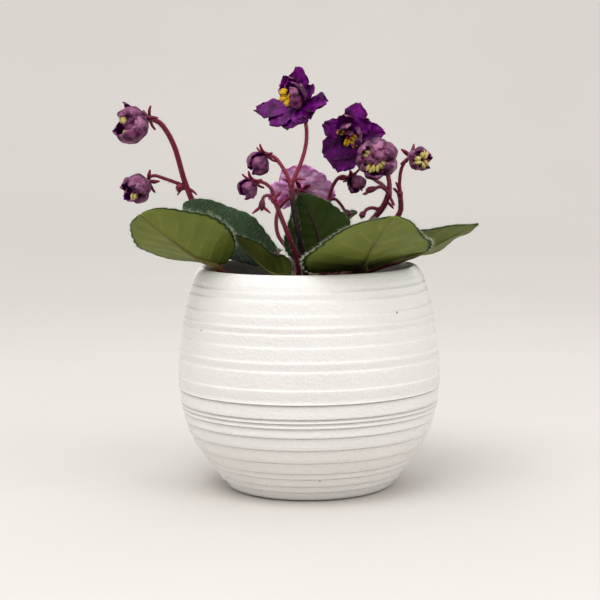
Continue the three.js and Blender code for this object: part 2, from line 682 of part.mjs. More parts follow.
function bloom(spec) {
  const clear = STALKS.filter((neighbour) => stalkBlooms(neighbour).includes(spec))
    .map((neighbour) => stalk(neighbour, GAP));
  if (spec.anthers.length) clear.push(stamens(spec, GAP));
  return largest(petals(spec).subtract(join(clear)));
}

// ---- soil and crown ----

function soil() {
  const edge = radiusAt(INNER_OUTLINE, SOIL_EDGE_HEIGHT) - GAP;
  const outline = [[0, INNER_OUTLINE[0][1] + GAP]];
  for (const [radius, height] of INNER_OUTLINE) {
    if (height < SOIL_EDGE_HEIGHT) outline.push([radius - 1.5 * GAP, height + GAP]);
  }
  for (let k = 4; k >= 0; k--) {
    const share = k / 4;
    outline.push([edge * share, SOIL_EDGE_HEIGHT + SOIL_RISE * (1 - share ** 2)]);
  }
  const points = outline.map(([radius, height]) => new THREE.Vector2(radius, height));
  const geometry = new THREE.LatheGeometry(points, POT_SIDES / 2);
  geometry.rotateX(Math.PI / 2);
  const spots = geometry.attributes.position;
  for (let k = 0; k < spots.count; k++) {
    const [x, y, z] = [spots.getX(k), spots.getY(k), spots.getZ(k)];
    if (z < SOIL_EDGE_HEIGHT + 0.01) continue;
    spots.setZ(k, z + SOIL_CRUMB * Math.sin(1.7 * x + 2) * Math.cos(2.3 * y));
  }
  return toSolid(geometry);
}

function crown(grow) {
  const [side, top, foot] = [CROWN_RADIUS + grow, CROWN_TOP + grow, CROWN_FOOT - grow];
  const shoulder = [[side, 69], [side - 1.5, 73], [side - 5, top - 0.6]];
  return lathe([[0, foot], [side - 2, foot], ...shoulder, [0, top]], CROWN_SIDES);
}

// ---- assembly ----

const plant = new THREE.Group();

function add(name, solid, material) {
  const mesh = new THREE.Mesh(toGeometry(solid), material);
  mesh.name = name;
  plant.add(mesh);
}

const grown = LEAVES.map((spec) => leafStem(spec, GAP));
for (const spec of STALKS) grown.push(stalk(spec, GAP));

add('pot', pot(), potPlastic);
add('soil', largest(soil().subtract(join([crown(GAP), ...grown]))), soilMix);
add('crown', largest(crown(0).subtract(join(grown))), crownGreen);
for (const spec of LEAVES) add(spec.name, leaf(spec), leafGreen);
for (const spec of STALKS) add(spec.name, stalk(spec), stalkCrimson);
for (const spec of BLOOMS) {
  add(spec.name, bloom(spec), spec.name === 'bloom_pink' ? petalPink : petalPurple);
  if (spec.anthers.length) add(spec.name.replace(/bloom|bud/, 'stamens'), stamens(spec), antherYellow);
}

export default plant;
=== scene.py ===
import math

import bpy
import numpy as np
from mathutils import Matrix, Vector, noise


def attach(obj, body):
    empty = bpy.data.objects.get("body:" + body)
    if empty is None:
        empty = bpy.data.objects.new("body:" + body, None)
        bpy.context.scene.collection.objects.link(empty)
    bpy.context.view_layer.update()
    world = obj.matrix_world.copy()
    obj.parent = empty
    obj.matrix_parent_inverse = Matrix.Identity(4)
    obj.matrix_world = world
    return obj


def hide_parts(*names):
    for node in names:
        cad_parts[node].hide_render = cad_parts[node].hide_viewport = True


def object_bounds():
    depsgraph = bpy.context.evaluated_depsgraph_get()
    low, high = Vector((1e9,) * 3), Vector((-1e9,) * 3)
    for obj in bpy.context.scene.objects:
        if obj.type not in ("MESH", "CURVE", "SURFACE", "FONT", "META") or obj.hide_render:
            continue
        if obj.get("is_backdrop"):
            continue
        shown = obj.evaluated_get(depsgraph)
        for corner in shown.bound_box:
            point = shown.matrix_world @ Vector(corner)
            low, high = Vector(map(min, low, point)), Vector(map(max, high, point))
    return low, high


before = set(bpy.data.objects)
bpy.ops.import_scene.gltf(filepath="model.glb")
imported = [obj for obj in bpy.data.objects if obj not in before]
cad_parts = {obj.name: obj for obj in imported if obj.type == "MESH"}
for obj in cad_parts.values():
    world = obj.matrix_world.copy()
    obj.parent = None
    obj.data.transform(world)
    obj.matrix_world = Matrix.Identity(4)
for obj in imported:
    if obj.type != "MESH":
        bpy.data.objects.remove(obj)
cad_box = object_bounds()

# ---- pot ----
# A thin white plastic shell, moulded in two halves that meet at a seam below the middle. Shallow
# steps ring the outside: ledges above the seam, undercuts below it. The rim is rolled smooth and
# five holes in the floor let water out.

MM = 0.001  # the sizes below are millimetres, and the scene is in metres
SEAM_HEIGHT = 35.6
RINGS_ABOVE_SEAM = [71.6, 68.9, 64.2, 60.6, 58.1, 54, 49.3, 46.2, 40.3]
RINGS_BELOW_SEAM = [30.8, 29.3, 27.6, 24.4, 20, 15.3, 11.1, 8.9, 6, 3.6]
# The outline at a ring and at the seam, as steps outward and upward from the smooth wall.
LEDGE = [(0.34, -0.15), (0.29, -0.03), (-0.33, 0.05)]
UNDERCUT = [(-0.46, -0.12), (-0.58, 0), (0.26, 0.06), (0.3, 0.16)]
SEAM = [(-0.5, -0.35), (-0.6, -0.15), (0.1, -0.08), (0.32, 0.1), (0.3, 0.4)]
RING_CLEAR = 0.5  # height left free on each side of a ring
RING_LEAN = 0.3  # how far the wall stands out at one ring and in at the next
FOOT_OUTLINE = [(0, 0.35), (25.4, 0.35), (25.8, 0), (26.7, 0), (27.6, 0.25)]
FOOT_TOP = 0.9
BODY_OUTLINE = [
    (27.4, 0), (29.3, 1.5), (31.7, 4.4), (35.6, 9.8), (39.3, 15), (41.5, 19), (43.3, 24),
    (44.9, 32), (45.5, 38), (45.2, 46), (44.2, 54), (42.9, 62), (41.2, 69), (39.4, 74),
]
RIM_OUTLINE = [
    (40.2, 72.9), (39.6, 74), (39.1, 75), (38.6, 75.8), (38, 76.5), (37.3, 76.9), (36.8, 77),
    (36.4, 76.9), (36.1, 76.5), (35.9, 75.8),
]
INNER_OUTLINE = [(25, 2.2), (30, 5), (38.4, 18), (42.6, 32), (42.8, 44), (39.4, 66), (36, 75)]
POT_SIDES = 240
BODY_STEPS, INNER_STEPS = 160, 40
WALL_STEPS = 5  # places on the wall between two rings
DRAIN_OUTLINE = [(0, -2), (2.5, -2), (2.5, 6), (0, 6)]
DRAIN_SIDES = 32
DRAIN_CIRCLE = 14
DRAIN_COUNT = 5
POT_WHITE = "e9e6e3"
POT_SHADE = "e0ddd9"
SPECK_BROWN = "6d6258"
# The grey of the painted shade under the grooves, with dirt in the seam as well.
GROOVE_SHADE_AND_DIRT = "a39c95"


def colour(code):
    """The linear colour of a six-digit paint code."""
    shares = [int(code[k:k + 2], 16) / 255 for k in (0, 2, 4)]
    return [x / 12.92 if x <= 0.04045 else ((x + 0.055) / 1.055) ** 2.4 for x in shares] + [1.0]


class Finish:
    """A node material. Its methods add nodes and return what they put out."""

    def __init__(self, name, **sockets):
        self.material = bpy.data.materials.new(name)
        self.material.use_nodes = True
        self.tree = self.material.node_tree
        self.shader = self.tree.nodes["Principled BSDF"]
        self.set(**sockets)
        self.where = self.node("TexCoord", {}, 3)

    def feed(self, socket, value):
        if isinstance(value, bpy.types.NodeSocket):
            self.tree.links.new(value, socket)
        else:
            socket.default_value = value

    def set(self, **sockets):
        """Sets or links sockets of the shader, such as Base_Color."""
        for name, value in sockets.items():
            self.feed(self.shader.inputs[name.replace("_", " ")], value)

    def node(self, kind, inputs, output=0, **settings):
        """Adds a node. inputs is a table of what its sockets are fed, by number or by name."""
        made = self.tree.nodes.new("ShaderNode" + kind)
        for name, value in settings.items():
            setattr(made, name, value)
        for socket, value in inputs.items():
            self.feed(made.inputs[socket], value)
        return made.outputs[output]

    def times(self, a, b):
        return self.node("Math", {0: a, 1: b}, operation="MULTIPLY", use_clamp=True)

    def mix(self, share, a, b):
        """Colour a where share is 0 and colour b where it is 1."""
        a, b = (colour(paint) if isinstance(paint, str) else paint for paint in (a, b))
        return self.node("Mix", {0: share, 6: a, 7: b}, 2, data_type="RGBA")

    def steps(self, value, low, high):
        """0 below low, 1 above high and smooth between them."""
        return self.node("MapRange", {"Value": value, "From Min": low, "From Max": high},
                         interpolation_type="SMOOTHSTEP")

    def noise(self, scale, detail=3.0, roughness=0.55):
        return self.node("TexNoise", {"Vector": self.where, "Scale": scale, "Detail": detail,
                                      "Roughness": roughness})

    def mottled(self, scale, detail, dark, light):
        """Takes a colour that wanders between two, and returns the finish itself."""
        self.set(Base_Color=self.mix(self.noise(scale, detail), dark, light))
        return self

    def notes(self):
        """The four values that shape() stores for each point."""
        stored = self.tree.nodes.new("ShaderNodeAttribute")
        stored.attribute_name = "place"
        first = self.tree.nodes.new("ShaderNodeSeparateColor")
        self.feed(first.inputs[0], stored.outputs[0])
        return [*first.outputs[:3], stored.outputs[3]]

    def bump(self, height, distance, under=None):
        """A fine relief, distance in metres. It can lie on another one."""
        inputs = {"Height": height, "Distance": distance}
        if under:
            inputs["Normal"] = under
        relief = self.node("Bump", inputs)
        self.set(Normal=relief)
        return relief


def spline(points, shares):
    """Places on a smooth curve through points, at shares of its way from first to last."""
    points = np.asarray(points, float)
    padded = np.vstack([2 * points[0] - points[1], points, 2 * points[-1] - points[-2]])
    along = np.clip(np.asarray(shares, float), 0, 1) * (len(points) - 1)
    first = np.minimum(along.astype(int), len(points) - 2)
    t = (along - first)[..., None]
    a, b, c, d = (padded[first + k] for k in range(4))
    bend = (2 * a - 5 * b + 4 * c - d) * t ** 2 + (3 * b - a - 3 * c + d) * t ** 3
    return (2 * b + (c - a) * t + bend) / 2


def tube_faces(rings, sides):
    """The faces of rings of points one after the other, then one end point and the other."""
    faces = [(i * sides + j, i * sides + (j + 1) % sides, (i + 1) * sides + (j + 1) % sides,
              (i + 1) * sides + j) for i in range(rings - 1) for j in range(sides)]
    last = (rings - 1) * sides
    for j in range(sides):
        k = (j + 1) % sides
        faces += [(rings * sides, k, j), (rings * sides + 1, last + j, last + k)]
    return faces


def turned(outline, sides):
    """Points and faces of a closed round body. The outline starts and ends on the axis."""
    outline = np.asarray(outline, float)
    ring = outline[1:-1]
    angle = np.arange(sides) * 2 * math.pi / sides
    points = np.empty((len(ring), sides, 3))
    points[..., 0] = ring[:, 0, None] * np.cos(angle)
    points[..., 1] = ring[:, 0, None] * np.sin(angle)
    points[..., 2] = ring[:, 1, None]
    points = np.vstack([points.reshape(-1, 3), [0, 0, outline[0, 1]], [0, 0, outline[-1, 1]]])
    return points, tube_faces(len(ring), sides)


def shape(name, parts, finishes):
    """One smooth-shaded object. A part is its points in millimetres, its faces, the finish of
    each face and, where its finish reads them, four values for each point."""
    points, faces, marks, notes, start = [], [], [], [], 0
    for part in parts:
        points.append(part[0])
        faces += [tuple(start + corner for corner in face) for face in part[1]]
        marks += [part[2]] * len(part[1]) if isinstance(part[2], int) else list(part[2])
        notes.append(part[3] if len(part) > 3 else np.zeros((len(part[0]), 4)))
        start += len(part[0])
    mesh = bpy.data.meshes.new(name)
    mesh.from_pydata((np.vstack(points) * MM).tolist(), [], faces)
    for finish in finishes:
        mesh.materials.append(finish.material)
    mesh.polygons.foreach_set("material_index", marks)
    mesh.polygons.foreach_set("use_smooth", [True] * len(faces))
    place = mesh.attributes.new("place", "FLOAT_COLOR", "POINT")
    place.data.foreach_set("color", np.vstack(notes).astype(np.float32).ravel())
    mesh.update()
    made = bpy.data.objects.new(name, mesh)
    bpy.context.scene.collection.objects.link(made)
    return made


def fit(piece, slot, *nodes):
    """Fixes a finished piece in the frame, in place of the solids it stands for."""
    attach(piece, "root")
    if nodes:
        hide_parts(*nodes)


def pot_outline():
    body = spline(BODY_OUTLINE, np.linspace(0, 1, BODY_STEPS))
    inside = spline(INNER_OUTLINE, np.linspace(0, 1, INNER_STEPS))

    def wall(level):
        return np.interp(level, body[:, 1], body[:, 0])

    rings = [(height, 1, UNDERCUT) for height in RINGS_BELOW_SEAM] + [(SEAM_HEIGHT, 1, SEAM)]
    rings += [(height, -1, LEDGE) for height in RINGS_ABOVE_SEAM]
    points = list(FOOT_OUTLINE)
    low = FOOT_TOP
    for height, way, profile in sorted(rings):
        # Between two rings the wall leans, from the inner edge of one to the outer of the next.
        for share in np.linspace(0, 1, WALL_STEPS):
            level = low + (height - RING_CLEAR - low) * share
            points.append((wall(level) + RING_LEAN * (1 - 2 * share) * way, level))
        points += [(wall(height) + out, height + up) for out, up in profile]
        low = height + RING_CLEAR
    points += RIM_OUTLINE + [tuple(place) for place in inside[::-1]]
    return points + [(0, INNER_OUTLINE[0][1])]


def cut(piece, cutter):
    """Cuts one object out of another and removes the cutter."""
    knife = piece.modifiers.new("cut", "BOOLEAN")
    knife.object = cutter
    knife.operation = "DIFFERENCE"
    bpy.context.view_layer.update()
    ready = piece.evaluated_get(bpy.context.evaluated_depsgraph_get())
    mesh = bpy.data.meshes.new_from_object(ready)
    piece.modifiers.clear()
    piece.data = mesh
    bpy.data.objects.remove(cutter)


# The plastic is white right through, with the fine grain of the mould, painted shade under the
# seam and under each groove below it, a little dirt in the seam, and a few specks of soil.
pot_plastic = Finish("pot_plastic", Roughness=0.5, Specular_IOR_Level=0.35, Subsurface_Weight=0.15,
                     Subsurface_Scale=0.002, Subsurface_Radius=(1.0, 0.97, 0.92))
grain = pot_plastic.noise(2600, 2.0)
dimple = pot_plastic.noise(900, 2.0)
tint = pot_plastic.mix(pot_plastic.noise(35, 3.0), POT_WHITE, POT_SHADE)
climb = pot_plastic.node("SeparateXYZ", {0: pot_plastic.where}, 2)
# The height of each groove, how far down the painted shade under it goes and how strong that
# is. At the seam it is partly dirt as well.
grooves = [(SEAM_HEIGHT, 0.45, 0.85), *[(height, 0.35, 0.5) for height in RINGS_BELOW_SEAM]]
for height, wide, shade_and_dirt in grooves:
    under = pot_plastic.steps(climb, (height - wide) * MM, (height - 0.1) * MM)
    over = pot_plastic.steps(climb, (height + 0.15) * MM, height * MM)
    groove = pot_plastic.times(pot_plastic.times(under, over), shade_and_dirt)
    tint = pot_plastic.mix(groove, tint, GROOVE_SHADE_AND_DIRT)
speck = pot_plastic.node("TexVoronoi", {"Vector": pot_plastic.where, "Scale": 150.0})
speck_pick = pot_plastic.steps(pot_plastic.noise(70, 1.0), 0.52, 0.56)
speck_spot = pot_plastic.times(pot_plastic.steps(speck, 0.075, 0.04), speck_pick)
pot_plastic.set(Base_Color=pot_plastic.mix(speck_spot, tint, SPECK_BROWN))
pot_plastic.bump(dimple, 0.0003, pot_plastic.bump(grain, 0.00014))

pot = shape("pot_shell", [(*turned(pot_outline(), POT_SIDES), 0)], [pot_plastic])
drains = []
for k in range(DRAIN_COUNT):
    angle = 2 * math.pi * (k + 0.5) / DRAIN_COUNT
    drill, drill_faces = turned(DRAIN_OUTLINE, DRAIN_SIDES)
    drill += np.array([DRAIN_CIRCLE * math.cos(angle), DRAIN_CIRCLE * math.sin(angle), 0])
    drains.append((drill, drill_faces, 0))
cut(pot, shape("drains", drains, [pot_plastic]))
fit(pot, "pot_plastic", "pot")

# ---- soil ----
# A moist peat mix, filled in by hand to about a centimetre below the rim: fine dark fibre with
# crumbs, bits of bark and a few white grains of perlite lying loose on top.

SOIL_EDGE_HEIGHT = 67.5
SOIL_RADIUS = 38.6
SOIL_RISE = 3  # the middle of the bed is this much higher than its edge
DOME_RADIUS = 38.7
SOIL_GAP = 0.3
SOIL_SIDES = 160
SOIL_RINGS = 64
CRUMB_COUNT = 520
CRUMB_SPREAD = 37
CRUMB_KINDS = [  # peat, bark and perlite: the share of each, its sizes and its proportions
    (0.68, (0.3, 0.9), (1, 0.8, 0.7)), (0.24, (0.5, 1.2), (1.7, 0.6, 0.4)),
    (0.08, (0.3, 0.9), (1, 0.9, 0.8)),
]


def soil_height(x, y):
    radius = math.hypot(x, y)
    dome = SOIL_RISE * (1 - (radius / DOME_RADIUS) ** 2)
    clods = noise.noise(Vector((x, y, 3)) * 0.45) * 0.7
    grit = noise.noise(Vector((x, y, 9)) * 1.6) * 0.35
    return SOIL_EDGE_HEIGHT + dome + (clods + grit) - SOIL_GAP


def soil_parts():
    under = [(radius - 1.5 * SOIL_GAP, height + SOIL_GAP) for radius, height in INNER_OUTLINE
             if height < SOIL_EDGE_HEIGHT]
    top = [(SOIL_RADIUS * share, SOIL_EDGE_HEIGHT) for share in np.linspace(1, 0.01, SOIL_RINGS)]
    outline = [(0, INNER_OUTLINE[0][1] + SOIL_GAP), *under, *top, (0, SOIL_EDGE_HEIGHT)]
    points, faces = turned(outline, SOIL_SIDES)
    for point in points:
        if point[2] > SOIL_EDGE_HEIGHT - 0.01:
            point[2] = soil_height(point[0], point[1])
    return points, faces, 0


def lump(centre, axes, radii, rings=6, sides=9, wobble=0.0, seed=0.0):
    """A closed rounded body with its own three directions, dented at random by wobble."""
    points, faces = turned([(math.sin(math.pi * k / rings), -math.cos(math.pi * k / rings))
                            for k in range(rings + 1)], sides)
    if wobble:
        points = np.array([point * (1 + wobble * noise.noise(Vector(point * 1.7 + seed)))
                           for point in points])
    return (points * radii) @ np.asarray(axes, float) + np.asarray(centre, float), faces


def turn_at_random(rng):
    return np.linalg.qr(rng.normal(size=(3, 3)))[0]


peat = Finish("peat", Roughness=0.95)
fibre = peat.noise(1500, 5.0, 0.7)
peat.set(Base_Color=peat.mix(fibre, "1d130d", "5b4433"))
peat.bump(fibre, 0.0006)
bark = Finish("bark", Roughness=0.85).mottled(900, 4.0, "3b2417", "8a6543")
bark.bump(bark.noise(2200, 3.0), 0.0003)
perlite = Finish("perlite", Roughness=0.9).mottled(1800, 2.0, "b9b2a4", "f0ece2")
perlite.bump(perlite.noise(3000, 3.0), 0.0002)

soil = shape("soil_bed", [soil_parts()], [peat])
fit(soil, "soil", "soil")

rng = np.random.default_rng(7)
crumbs = []
for k in range(CRUMB_COUNT):
    radius, angle = CRUMB_SPREAD * math.sqrt(rng.uniform(0.05, 1)), rng.uniform(0, 2 * math.pi)
    x, y = radius * math.cos(angle), radius * math.sin(angle)
    kind = rng.choice(len(CRUMB_KINDS), p=[share for share, _, _ in CRUMB_KINDS])
    _, sizes, form = CRUMB_KINDS[kind]
    size = rng.uniform(*sizes)
    radii = size * np.array(form)
    centre = (x, y, soil_height(x, y) + 0.25 * size)
    crumbs.append((*lump(centre, turn_at_random(rng), radii, 5, 7, 0.5, k), int(kind)))
fit(shape("soil_crumbs", crumbs, [peat, bark, perlite]), "soil")

# ---- crown ----
# The short thick stem in the middle, that every leaf and flower stalk grows from. It is knobbly
# with the scars of old leaves, greenish brown, and covered in soft hair.

CROWN_RADIUS = 10.5
CROWN_FOOT = 63
CROWN_TOP = 75.5
CROWN_PROFILE = [(0.3, 0), (0.8, 0.4), (1, 5), (0.96, 8.2), (0.75, 10.6), (0.4, 12), (0.1, 12.4)]
CROWN_RINGS = 34
CROWN_SIDES = 64
CROWN_FUR_FROM = 70.5
CROWN_HAIR_COUNT = 420
CROWN_HAIR_LENGTHS = (0.8, 1.6)
HAIR_RADIUS = 0.022


def unit(vectors):
    return vectors / np.linalg.norm(vectors, axis=-1, keepdims=True)


def hairs(roots, directions, lengths, radius=HAIR_RADIUS, droop=0.25):
    """Thin tapered hairs of three sides, each bent a little at its middle."""
    roots, lengths = np.asarray(roots, float), np.asarray(lengths, float)[:, None]
    aim = unit(directions)
    side = unit(np.cross(aim, [0.31, 0.42, 0.85]))
    other = np.cross(aim, side)
    middle = roots + aim * lengths * 0.5
    tip = roots + (aim + side * droop - [0, 0, droop * 0.3]) * lengths
    rings = []
    for centre, size in ((roots, radius), (middle, radius * 0.7)):
        for k in range(3):
            turn = 2 * math.pi * k / 3
            rings.append(centre + (side * math.cos(turn) + other * math.sin(turn)) * size)
    points = np.stack([*rings, tip], axis=1).reshape(-1, 3)
    one = [(2, 1, 0), (0, 1, 4, 3), (1, 2, 5, 4), (2, 0, 3, 5), (3, 4, 6), (4, 5, 6), (5, 3, 6)]
    faces = [tuple(7 * k + corner for corner in face) for k in range(len(roots)) for face in one]
    return points, faces, 0


crown_flesh = Finish("crown_flesh", Roughness=0.6, Subsurface_Weight=0.1, Subsurface_Scale=0.001)
crown_flesh.mottled(260, 4.0, "3f4a24", "7a5a3c")
crown_flesh.bump(crown_flesh.noise(800, 4.0), 0.0005)
plant_hair = Finish("plant_hair", Roughness=0.5).mottled(300, 1.0, "98a088", "dcdccc")

crown_outline = [(CROWN_RADIUS * share, CROWN_FOOT + height)
                 for share, height in spline(CROWN_PROFILE, np.linspace(0, 1, CROWN_RINGS))]
crown_outline = [(0, CROWN_FOOT), *crown_outline, (0, CROWN_TOP)]
crown_points, crown_faces = turned(crown_outline, CROWN_SIDES)
knobs = np.array([noise.noise(Vector(point) * 0.35) + 0.4 * noise.noise(Vector(point) * 1.1)
                  for point in crown_points])
crown_points *= 1 + np.column_stack([knobs, knobs, knobs * 0.02]) * 0.07
crown = shape("crown_stem", [(crown_points, crown_faces, 0)], [crown_flesh])
fit(crown, "crown", "crown")
furry = np.flatnonzero(crown_points[:, 2] > CROWN_FUR_FROM)
roots = crown_points[rng.choice(furry, CROWN_HAIR_COUNT)]
outward = roots * [1, 1, 0] + [0, 0, 5] + rng.normal(size=(CROWN_HAIR_COUNT, 3)) * 2
lengths = rng.uniform(*CROWN_HAIR_LENGTHS, CROWN_HAIR_COUNT)
fit(shape("crown_hairs", [hairs(roots, outward, lengths)], [plant_hair]), "crown")

# ---- leaves ----
# Thick soft blades on round stems that grow from the crown in a rosette. The upper side is dark
# green and furred with white hair, the under side olive with raised pale veins, and the edge is
# cut in round teeth. Seen from the front, the near leaves show their under side.

LEAF_THICKNESS = 0.8
LEAF_EDGE = 0.36
YOUNG_WIDTH = 15  # a leaf narrower than this is a young one, with a thinner stem
LEAF_GRID, YOUNG_GRID = (96, 57), (40, 25)  # points along a blade and across it
STEM_RADIUS, YOUNG_STEM_RADIUS = 1.3, 0.8
MIDRIB = [  # at shares of the blade: how deep it lies and how thick it is, against the stem
    (0, 0.65, 1), (0.1, 0.5, 0.7), (0.3, 0.36, 0.42), (0.6, 0.27, 0.3), (0.9, 0.16, 0.16),
]
EDGE_HAIRS = 22  # for each millimetre of a leaf's width
FACE_HAIRS = 0.6  # for each square millimetre of its width
STEM_HAIRS = 180
EDGE_HAIR_LENGTHS = (0.6, 1.9)
FACE_HAIR_LENGTHS = (0.8, 1.9)
STEM_HAIR_LENGTHS = (0.8, 1.5)
LEAF_LOBE = 0.1  # how far a blade's base lobes reach back past its stem, as a share of its width
# The stem runs from the crown to the blade, and the line from the blade's base to its tip. face
# is the way the upper side looks, fold the lift of the left and right halves in degrees, open the
# share of the fold that is gone at the tip, curl what the edge adds to it, and taper the share of
# the width that is gone at the tip. tone goes from a pale under side to a deep green one, and
# darkens the midrib to deep red. It is partly the leaf's own colour and partly painted shade,
# highest on the leaves in shade.
LEAVES = [
    dict(name="leaf_left", width=33, face=[-0.39, 0.65, 0.64], tone=0.15, fold=[0, 58], open=0.4,
         curl=-6, wave=0.5,
         stem=[[-8, -4.5, 68], [-15.5, -9.8, 71], [-25.8, -14.4, 74.2]],
         line=[[-31.2, -17, 79.1], [-38.6, -25, 83], [-45.6, -34, 89.6], [-53.6, -42.5, 97.6]]),
    dict(name="leaf_left_back", width=26, face=[-0.1, -0.4, 0.9], tone=0.5, fold=[6, 2], open=0,
         curl=0, wave=0.5,
         stem=[[-6, 2.2, 68], [-7.2, 3, 75], [-10, 4.2, 78.4]],
         line=[[-15, 5, 79.6], [-24, 7, 85.8], [-33.5, 9.5, 92.4], [-43.4, 12, 98.6]]),
    dict(name="leaf_left_inner", width=17, face=[0.55, 0.05, 0.83], tone=0.3, fold=[78, 40],
         open=1.15, curl=0, wave=0.7,
         stem=[[-3.8, -6.4, 68], [-5, -8.6, 71], [-6.4, -9.6, 72.6]],
         line=[[-8, -10, 74], [-15, -9.5, 77.6], [-23.4, -9.5, 86.3], [-34, -9, 97]]),
    # This leaf lies in shade, and its full tone paints it dark as painted shade.
    dict(name="leaf_centre", width=30, taper=0.5, face=[-0.1, 0.95, 0.2], tone=1, fold=[8, 4],
         open=0, curl=4, wave=0.5,
         stem=[[3, -7, 68], [5.4, -8, 76], [5.6, -7.8, 79.4]],
         line=[[5.4, -7.4, 82], [3.6, -7.4, 88], [1, -7.4, 95], [-2.4, -7.2, 102]]),
    dict(name="leaf_front", width=43, face=[-0.16, 0.5, 0.85], tone=0.1, fold=[10, 8], open=0.8,
         curl=-4, wave=0.5,
         stem=[[6, -5, 68], [11, -9, 73], [16, -14, 75.6]],
         line=[[18.6, -18, 77.5], [19.2, -29, 81.5], [21.5, -40, 88], [26.5, -51, 96.5]]),
    dict(name="leaf_right", width=30, face=[-0.3, 0.15, 0.95], tone=0.35, fold=[-2, 50], open=0.9,
         curl=0, wave=0.5,
         stem=[[8, 0, 68], [17, 0, 73.5], [26, -0.5, 77]],
         line=[[30.5, -1, 79], [39, -4.5, 81.4], [48, -9, 86.8], [57.6, -13, 91.4]]),
    dict(name="leaf_back_right", width=29, face=[-0.2, -0.1, 1], tone=0.4, fold=[10, 10], open=0,
         curl=-4, wave=0.7,
         stem=[[6.5, 6, 68], [12, 11, 76], [19, 15, 79]],
         line=[[23, 17, 80], [31, 21.5, 82.5], [39, 26, 84.5], [46, 30, 84]]),
    dict(name="leaf_back", width=26, face=[0, -0.1, 1], tone=0.4, fold=[10, 10], open=0, curl=-4,
         wave=0.7,
         stem=[[1, 8, 68], [2, 14, 75], [3, 21, 78.5]],
         line=[[3.5, 26, 79.5], [4, 34, 81.5], [5, 43, 83], [6, 51, 82]]),
    dict(name="leaf_back_left", width=26, face=[0.1, -0.1, 1], tone=0.4, fold=[10, 10], open=0,
         curl=-4, wave=0.7,
         stem=[[-5, 7, 68], [-8, 13, 74], [-12, 19, 78]],
         line=[[-15, 22.5, 79], [-22, 29, 80.5], [-29, 35, 81.5], [-36, 40, 81]]),
    dict(name="leaf_young_right", width=11, face=[-0.5, -0.2, 0.8], tone=0.2, fold=[24, 24],
         open=0.4, curl=6, wave=0.3,
         stem=[[5.5, 4, 70], [8, 10.5, 78], [10.5, 12.5, 84]],
         line=[[11.5, 13, 86.5], [13, 13.2, 89.5], [15, 13.4, 92.5], [17.6, 13.4, 94.6]]),
    dict(name="leaf_young_left", width=9, face=[0.5, -0.3, 0.8], tone=0.2, fold=[26, 26], open=0.4,
         curl=6, wave=0.3,
         stem=[[-2.6, 3.6, 70], [-3.6, 6.2, 76], [-4.1, 7.8, 80]],
         line=[[-4.4, 8.8, 81.5], [-5, 10.4, 83.8], [-5.8, 11.8, 86], [-7, 13, 87.6]]),
]


def leaf_width(s):
    round_base = np.sqrt(1 - np.clip(1 - s / 0.07, 0, 1) ** 2)
    round_tip = np.sqrt(1 - np.clip(1 - (1 - s) / 0.06, 0, 1) ** 2)
    return np.sin(math.pi * (0.06 + 0.92 * s ** 0.85)) ** 0.62 * round_base * round_tip


def veins(leaf, s, u):
    """How near a place on the blade is to the midrib or a side vein: 1 on it and 0 away."""
    half = leaf["width"] / 2
    length = np.linalg.norm(np.subtract(leaf["line"][-1], leaf["line"][0]))
    pairs = 6 if leaf["width"] > YOUNG_WIDTH else 4
    offset = np.where(u < 0, 0.35, 0)
    phase = (s - 0.30 * np.abs(u) ** 1.15) * pairs + offset
    away = np.abs(phase - np.round(phase)) / pairs * length
    side = np.exp(-(away / 0.34) ** 2) * np.clip(1.2 - np.abs(u), 0, 1) * (s > 0.02)
    rib = np.exp(-(np.abs(u) * half / (0.62 - 0.4 * s)) ** 2)
    return np.maximum(side * 0.8, rib), np.exp(-(away / 1.7) ** 2)


def heading(line, shares):
    """The way a smooth line runs at shares of it."""
    return unit(spline(line, shares + 1e-3) - spline(line, shares - 1e-3))


def leaf_middle(leaf, s, u):
    """Places in the middle of the blade's thickness, and the ways its upper side looks."""
    along = heading(leaf["line"], s)
    face = np.array(leaf["face"], float)
    up = unit(face - along * (along @ face)[..., None])
    side = np.cross(along, up)
    fold = np.where(u < 0, *leaf["fold"]) * (1 - leaf["open"] * s)
    lift = np.radians(fold + leaf["curl"] * np.abs(u))
    back = LEAF_LOBE * leaf["width"] * np.abs(u) ** 1.5 * (1 - s) ** 4
    teeth = np.abs(np.sin(math.pi * leaf["width"] * 0.5 * np.arccos(1 - 2 * s) / math.pi)) ** 0.7
    notch = 1 + 0.05 * np.clip(np.abs(u) * 4 - 3, 0, 1) * (teeth - 0.7)
    reach = leaf["width"] / 2 * leaf_width(s) * (1 - leaf.get("taper", 0) * s) * np.abs(u) * notch
    wave = leaf["wave"] * u * u * np.sin(14 * s + np.where(u < 0, 0, 2))
    vein, near = veins(leaf, s, u)
    quilt = (0.22 * (1 - near) - 0.1 * vein) * (1 - 0.7 * leaf["tone"])
    quilt = quilt * np.clip(4 * (1 - np.abs(u)), 0, 1)
    place = spline(leaf["line"], s) - along * back[..., None]
    place = place + side * (np.sign(u) * reach * np.cos(lift))[..., None]
    normal = unit(up * np.cos(lift)[..., None] - side * (np.sign(u) * np.sin(lift))[..., None])
    return place + up * (reach * np.sin(lift) + wave)[..., None] + normal * quilt[..., None]


